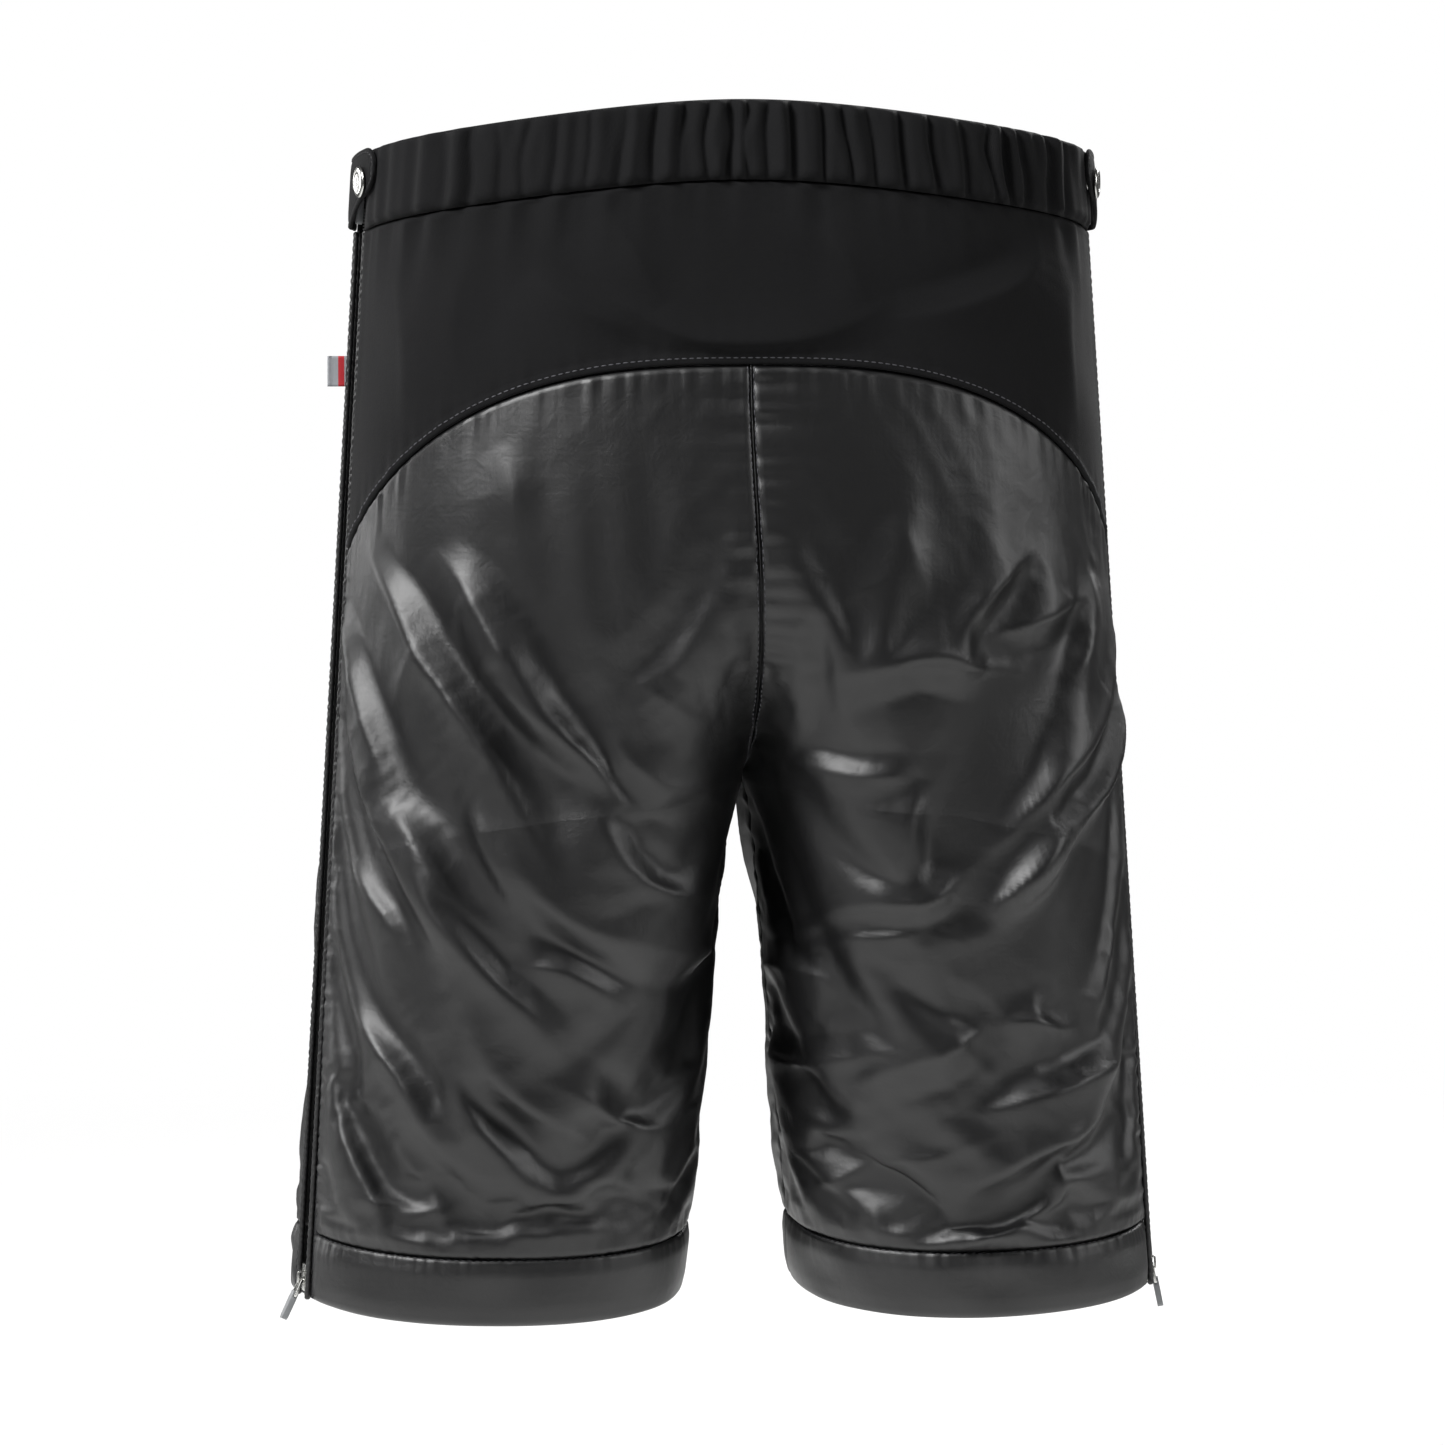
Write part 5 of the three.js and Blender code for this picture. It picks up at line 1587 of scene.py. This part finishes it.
snap = {"place": 19, "radius": 7, "height": 1.6, "capBase": 5.5}
for hand, side in hands.items():
    z = float(waistEdge(0.5)) - 3 - tab["tipHeight"] / 2
    turn = turnFromZip(snap["place"], z)
    out = outwards(turn, z)
    place = (skin(side, turn, z, 0), (side * float(out[0]), float(out[1]), 0))
    base, radius, top = snap["capBase"], snap["radius"], snap["capBase"] + snap["height"]
    rows = [
        (0.4, base), (0.86 * radius, base), (0.97 * radius, base + 0.06), (radius, base + 0.25),
        (radius, base + 0.5), (0.985 * radius, base + 0.8), (0.94 * radius, base + 1.1),
        (0.86 * radius, top - 0.22), (0.76 * radius, top - 0.06), (0.67 * radius, top),
        (0.6 * radius, top - 0.05), (0.55 * radius, top - 0.25), (0.5 * radius, top - 0.34),
        (0.3 * radius, top - 0.3), (0.1 * radius, top - 0.28),
    ]
    cap = turnedPiece(f"{hand}SnapCap", place, rows, "nickel")
    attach(cap, f"tab_{hand}")
    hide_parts(f"snap_cap_{hand}")
print("snap caps made")


def finerCopy(node, name, width, material, body):
    # A CAD part with its sharp edges broken, as plating and tumbling leave them.
    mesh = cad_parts[node].data.copy()
    shape = bmesh.new()
    shape.from_mesh(mesh)
    bmesh.ops.remove_doubles(shape, verts=shape.verts, dist=1e-6)
    bmesh.ops.dissolve_limit(
        shape, angle_limit=math.radians(2), verts=shape.verts, edges=shape.edges
    )
    shape.to_mesh(mesh)
    shape.free()
    draft = addObject(name + "Draft", mesh)
    bevel = draft.modifiers.new("broken edges", "BEVEL")
    bevel.width = width * mm
    bevel.segments = 2
    bevel.limit_method = "ANGLE"
    bevel.angle_limit = math.radians(35)
    made = shapedMesh(draft, name)
    made.materials.clear()
    made.materials.append(finishes[material])
    made.polygons.foreach_set("use_smooth", [True] * len(made.polygons))
    made.set_sharp_from_angle(angle=math.radians(38))
    piece = addObject(name, made)
    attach(piece, body)
    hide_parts(node)
    return piece


for hand in hands:
    title = hand.capitalize()
    finerCopy(f"snap_socket_{hand}", f"{hand}SnapSocket", 0.2, "nickel", f"tab_{hand}")
    for part in ("stud", "washer"):
        finerCopy(
            f"snap_{part}_{hand}", f"{hand}Snap{part.capitalize()}", 0.2, "nickel", "shorts",
        )
    finerCopy(f"zip_stop_{hand}", f"{hand}ZipStop", 0.2, "nickel", "shorts")
    for end in ("bottom", "top"):
        slider = f"{end}_slider_{hand}"
        pullBody = f"bottom_pull_{hand}" if end == "bottom" else slider
        finerCopy(f"{slider}_body", f"{end}{title}Slider", 0.22, "nickel", slider)
        finerCopy(f"{slider}_link", f"{end}{title}Link", 0.25, "nickel", pullBody)
        finerCopy(f"{slider}_grip", f"{end}{title}Grip", 0.5, "grip", pullBody)
print("metal parts finished")

# The woven tag, folded double and caught in the left side seam.
tag = {"level": -120, "height": 13.7, "length": 10, "thickness": 0.9, "rows": 14}
turn = turnFromZip(-g["zipMargin"] - 2.5, tag["level"])
out = outwards(turn, tag["level"])
sideways = np.array([-out[1], out[0], 0])
half = tag["thickness"] / 2
distance = np.linspace(0.6, tag["length"] - half, 16)
section = [(d, half - 0.12 * math.sin(d)) for d in distance]
section += [(tag["length"], 0.25), (tag["length"], -0.25)]
section += [(d, -half + 0.12 * math.sin(d)) for d in distance[::-1]]
rings, uvs = [], []
for share in np.linspace(-0.5, 0.5, tag["rows"]):
    ring = []
    for d, across in section:
        p = skin(1, turn, tag["level"], -d)
        sway = 0.5 * (d / tag["length"]) ** 2 * math.sin(2.2 * share + 0.6)
        ring.append(p + sideways * (across + sway) + np.array([0, 0, share * tag["height"]]))
    rings.append(ring)
    uvs.append([(d, share * tag["height"]) for d, _ in section])
piece = tubeMesh("sideTag", np.array(rings), finishes["tag"], np.array(uvs))
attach(piece, "shorts")
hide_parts("side_tag")

# Camera, lights and floor


def pointed(name, data, place, direction):  # a camera or light that looks in a direction
    thing = addObject(name, data)
    thing.location = place
    thing.rotation_mode = "QUATERNION"
    thing.rotation_quaternion = direction.to_track_quat("-Z", "Y")
    return thing


view = {"azimuth": 174, "elevation": 4.4, "distance": 2.8, "aim": (0, 0, -0.280), "lens": 153.3}
turned, raisedBy = math.radians(view["azimuth"]), math.radians(view["elevation"])
back = Vector((
    math.sin(turned) * math.cos(raisedBy),
    -math.cos(turned) * math.cos(raisedBy),
    math.sin(raisedBy),
))
cameraData = bpy.data.cameras.new("camera")
cameraData.lens = view["lens"]
cameraData.sensor_width = 36
camera = pointed("camera", cameraData, Vector(view["aim"]) + back * view["distance"], -back)
bpy.context.scene.camera = camera

# Softboxes: place and size in metres, and power in watts.
softboxes = {
    "keyLight": ((1.8, 1.2, 1.5), 0.8, 104),
    "fillLight": ((-2.2, 0.8, 0.5), 0.6, 17),
    "topLight": ((-0.2, 1.5, 1.9), 0.8, 7),
    "frontKey": ((-1.4, -1.9, 0.9), 1.2, 50),
    "frontFill": ((1.9, -1.4, 0.2), 1.1, 16),
}
middle = Vector((0, 0, -0.27))
for name, (place, size, power) in softboxes.items():
    lightData = bpy.data.lights.new(name, "AREA")
    lightData.size = size
    lightData.energy = power
    pointed(name, lightData, place, middle - Vector(place))

# White to the camera and dim to every other ray, so that the softboxes light the garment.
world = bpy.data.worlds.new("studio")
world.use_nodes = True
world.node_tree.nodes.clear()
seen = addNode(world.node_tree, "ShaderNodeLightPath").outputs["Is Camera Ray"]
sky = addNode(
    world.node_tree, "ShaderNodeBackground",
    {"Color": linear("#ffffff"), "Strength": rangeOf(world.node_tree, seen, 0.06, 1.0)},
)
addNode(world.node_tree, "ShaderNodeOutputWorld", {"Surface": sky.outputs[0]})
bpy.context.scene.world = world
bpy.context.scene.view_settings.view_transform = "Standard"

# Matt white studio floor that fades out with distance, so that its edge isn't seen.
ground = {"level": -0.72, "reach": 30.0, "fadeStart": 0.8, "fadeEnd": 2.2}
floorMaterial = bpy.data.materials.new("matt studio floor")
floorMaterial.use_nodes = True
tree = floorMaterial.node_tree
tree.nodes.clear()
spot = addNode(tree, "ShaderNodeTexCoord").outputs["Object"]
speckle = addNode(tree, "ShaderNodeTexNoise", {"Vector": spot, "Scale": 3.0}).outputs["Fac"]
painted = colourBetween(tree, speckle, "#f4f4f3", "#f9f9f8")
matt = addNode(tree, "ShaderNodeBsdfDiffuse", {"Color": painted}).outputs[0]
gone = addNode(tree, "ShaderNodeBsdfTransparent").outputs[0]
away = addNode(tree, "ShaderNodeVectorMath", {0: spot}, operation="LENGTH").outputs["Value"]
fade = {0: away, 1: ground["fadeStart"], 2: ground["fadeEnd"]}
share = addNode(
    tree, "ShaderNodeMapRange", fade, interpolation_type="SMOOTHSTEP"
).outputs[0]
blended = addNode(tree, "ShaderNodeMixShader", {0: share, 1: matt, 2: gone}).outputs[0]
addNode(tree, "ShaderNodeOutputMaterial", {"Surface": blended})
corners = [(-1, -1), (1, -1), (1, 1), (-1, 1)]
floorMesh = bpy.data.meshes.new("floor")
floorMesh.from_pydata(
    [(x * ground["reach"], y * ground["reach"], ground["level"]) for x, y in corners],
    [], [(0, 1, 2, 3)],
)
floorMesh.materials.append(floorMaterial)
floor = addObject("floor", floorMesh)
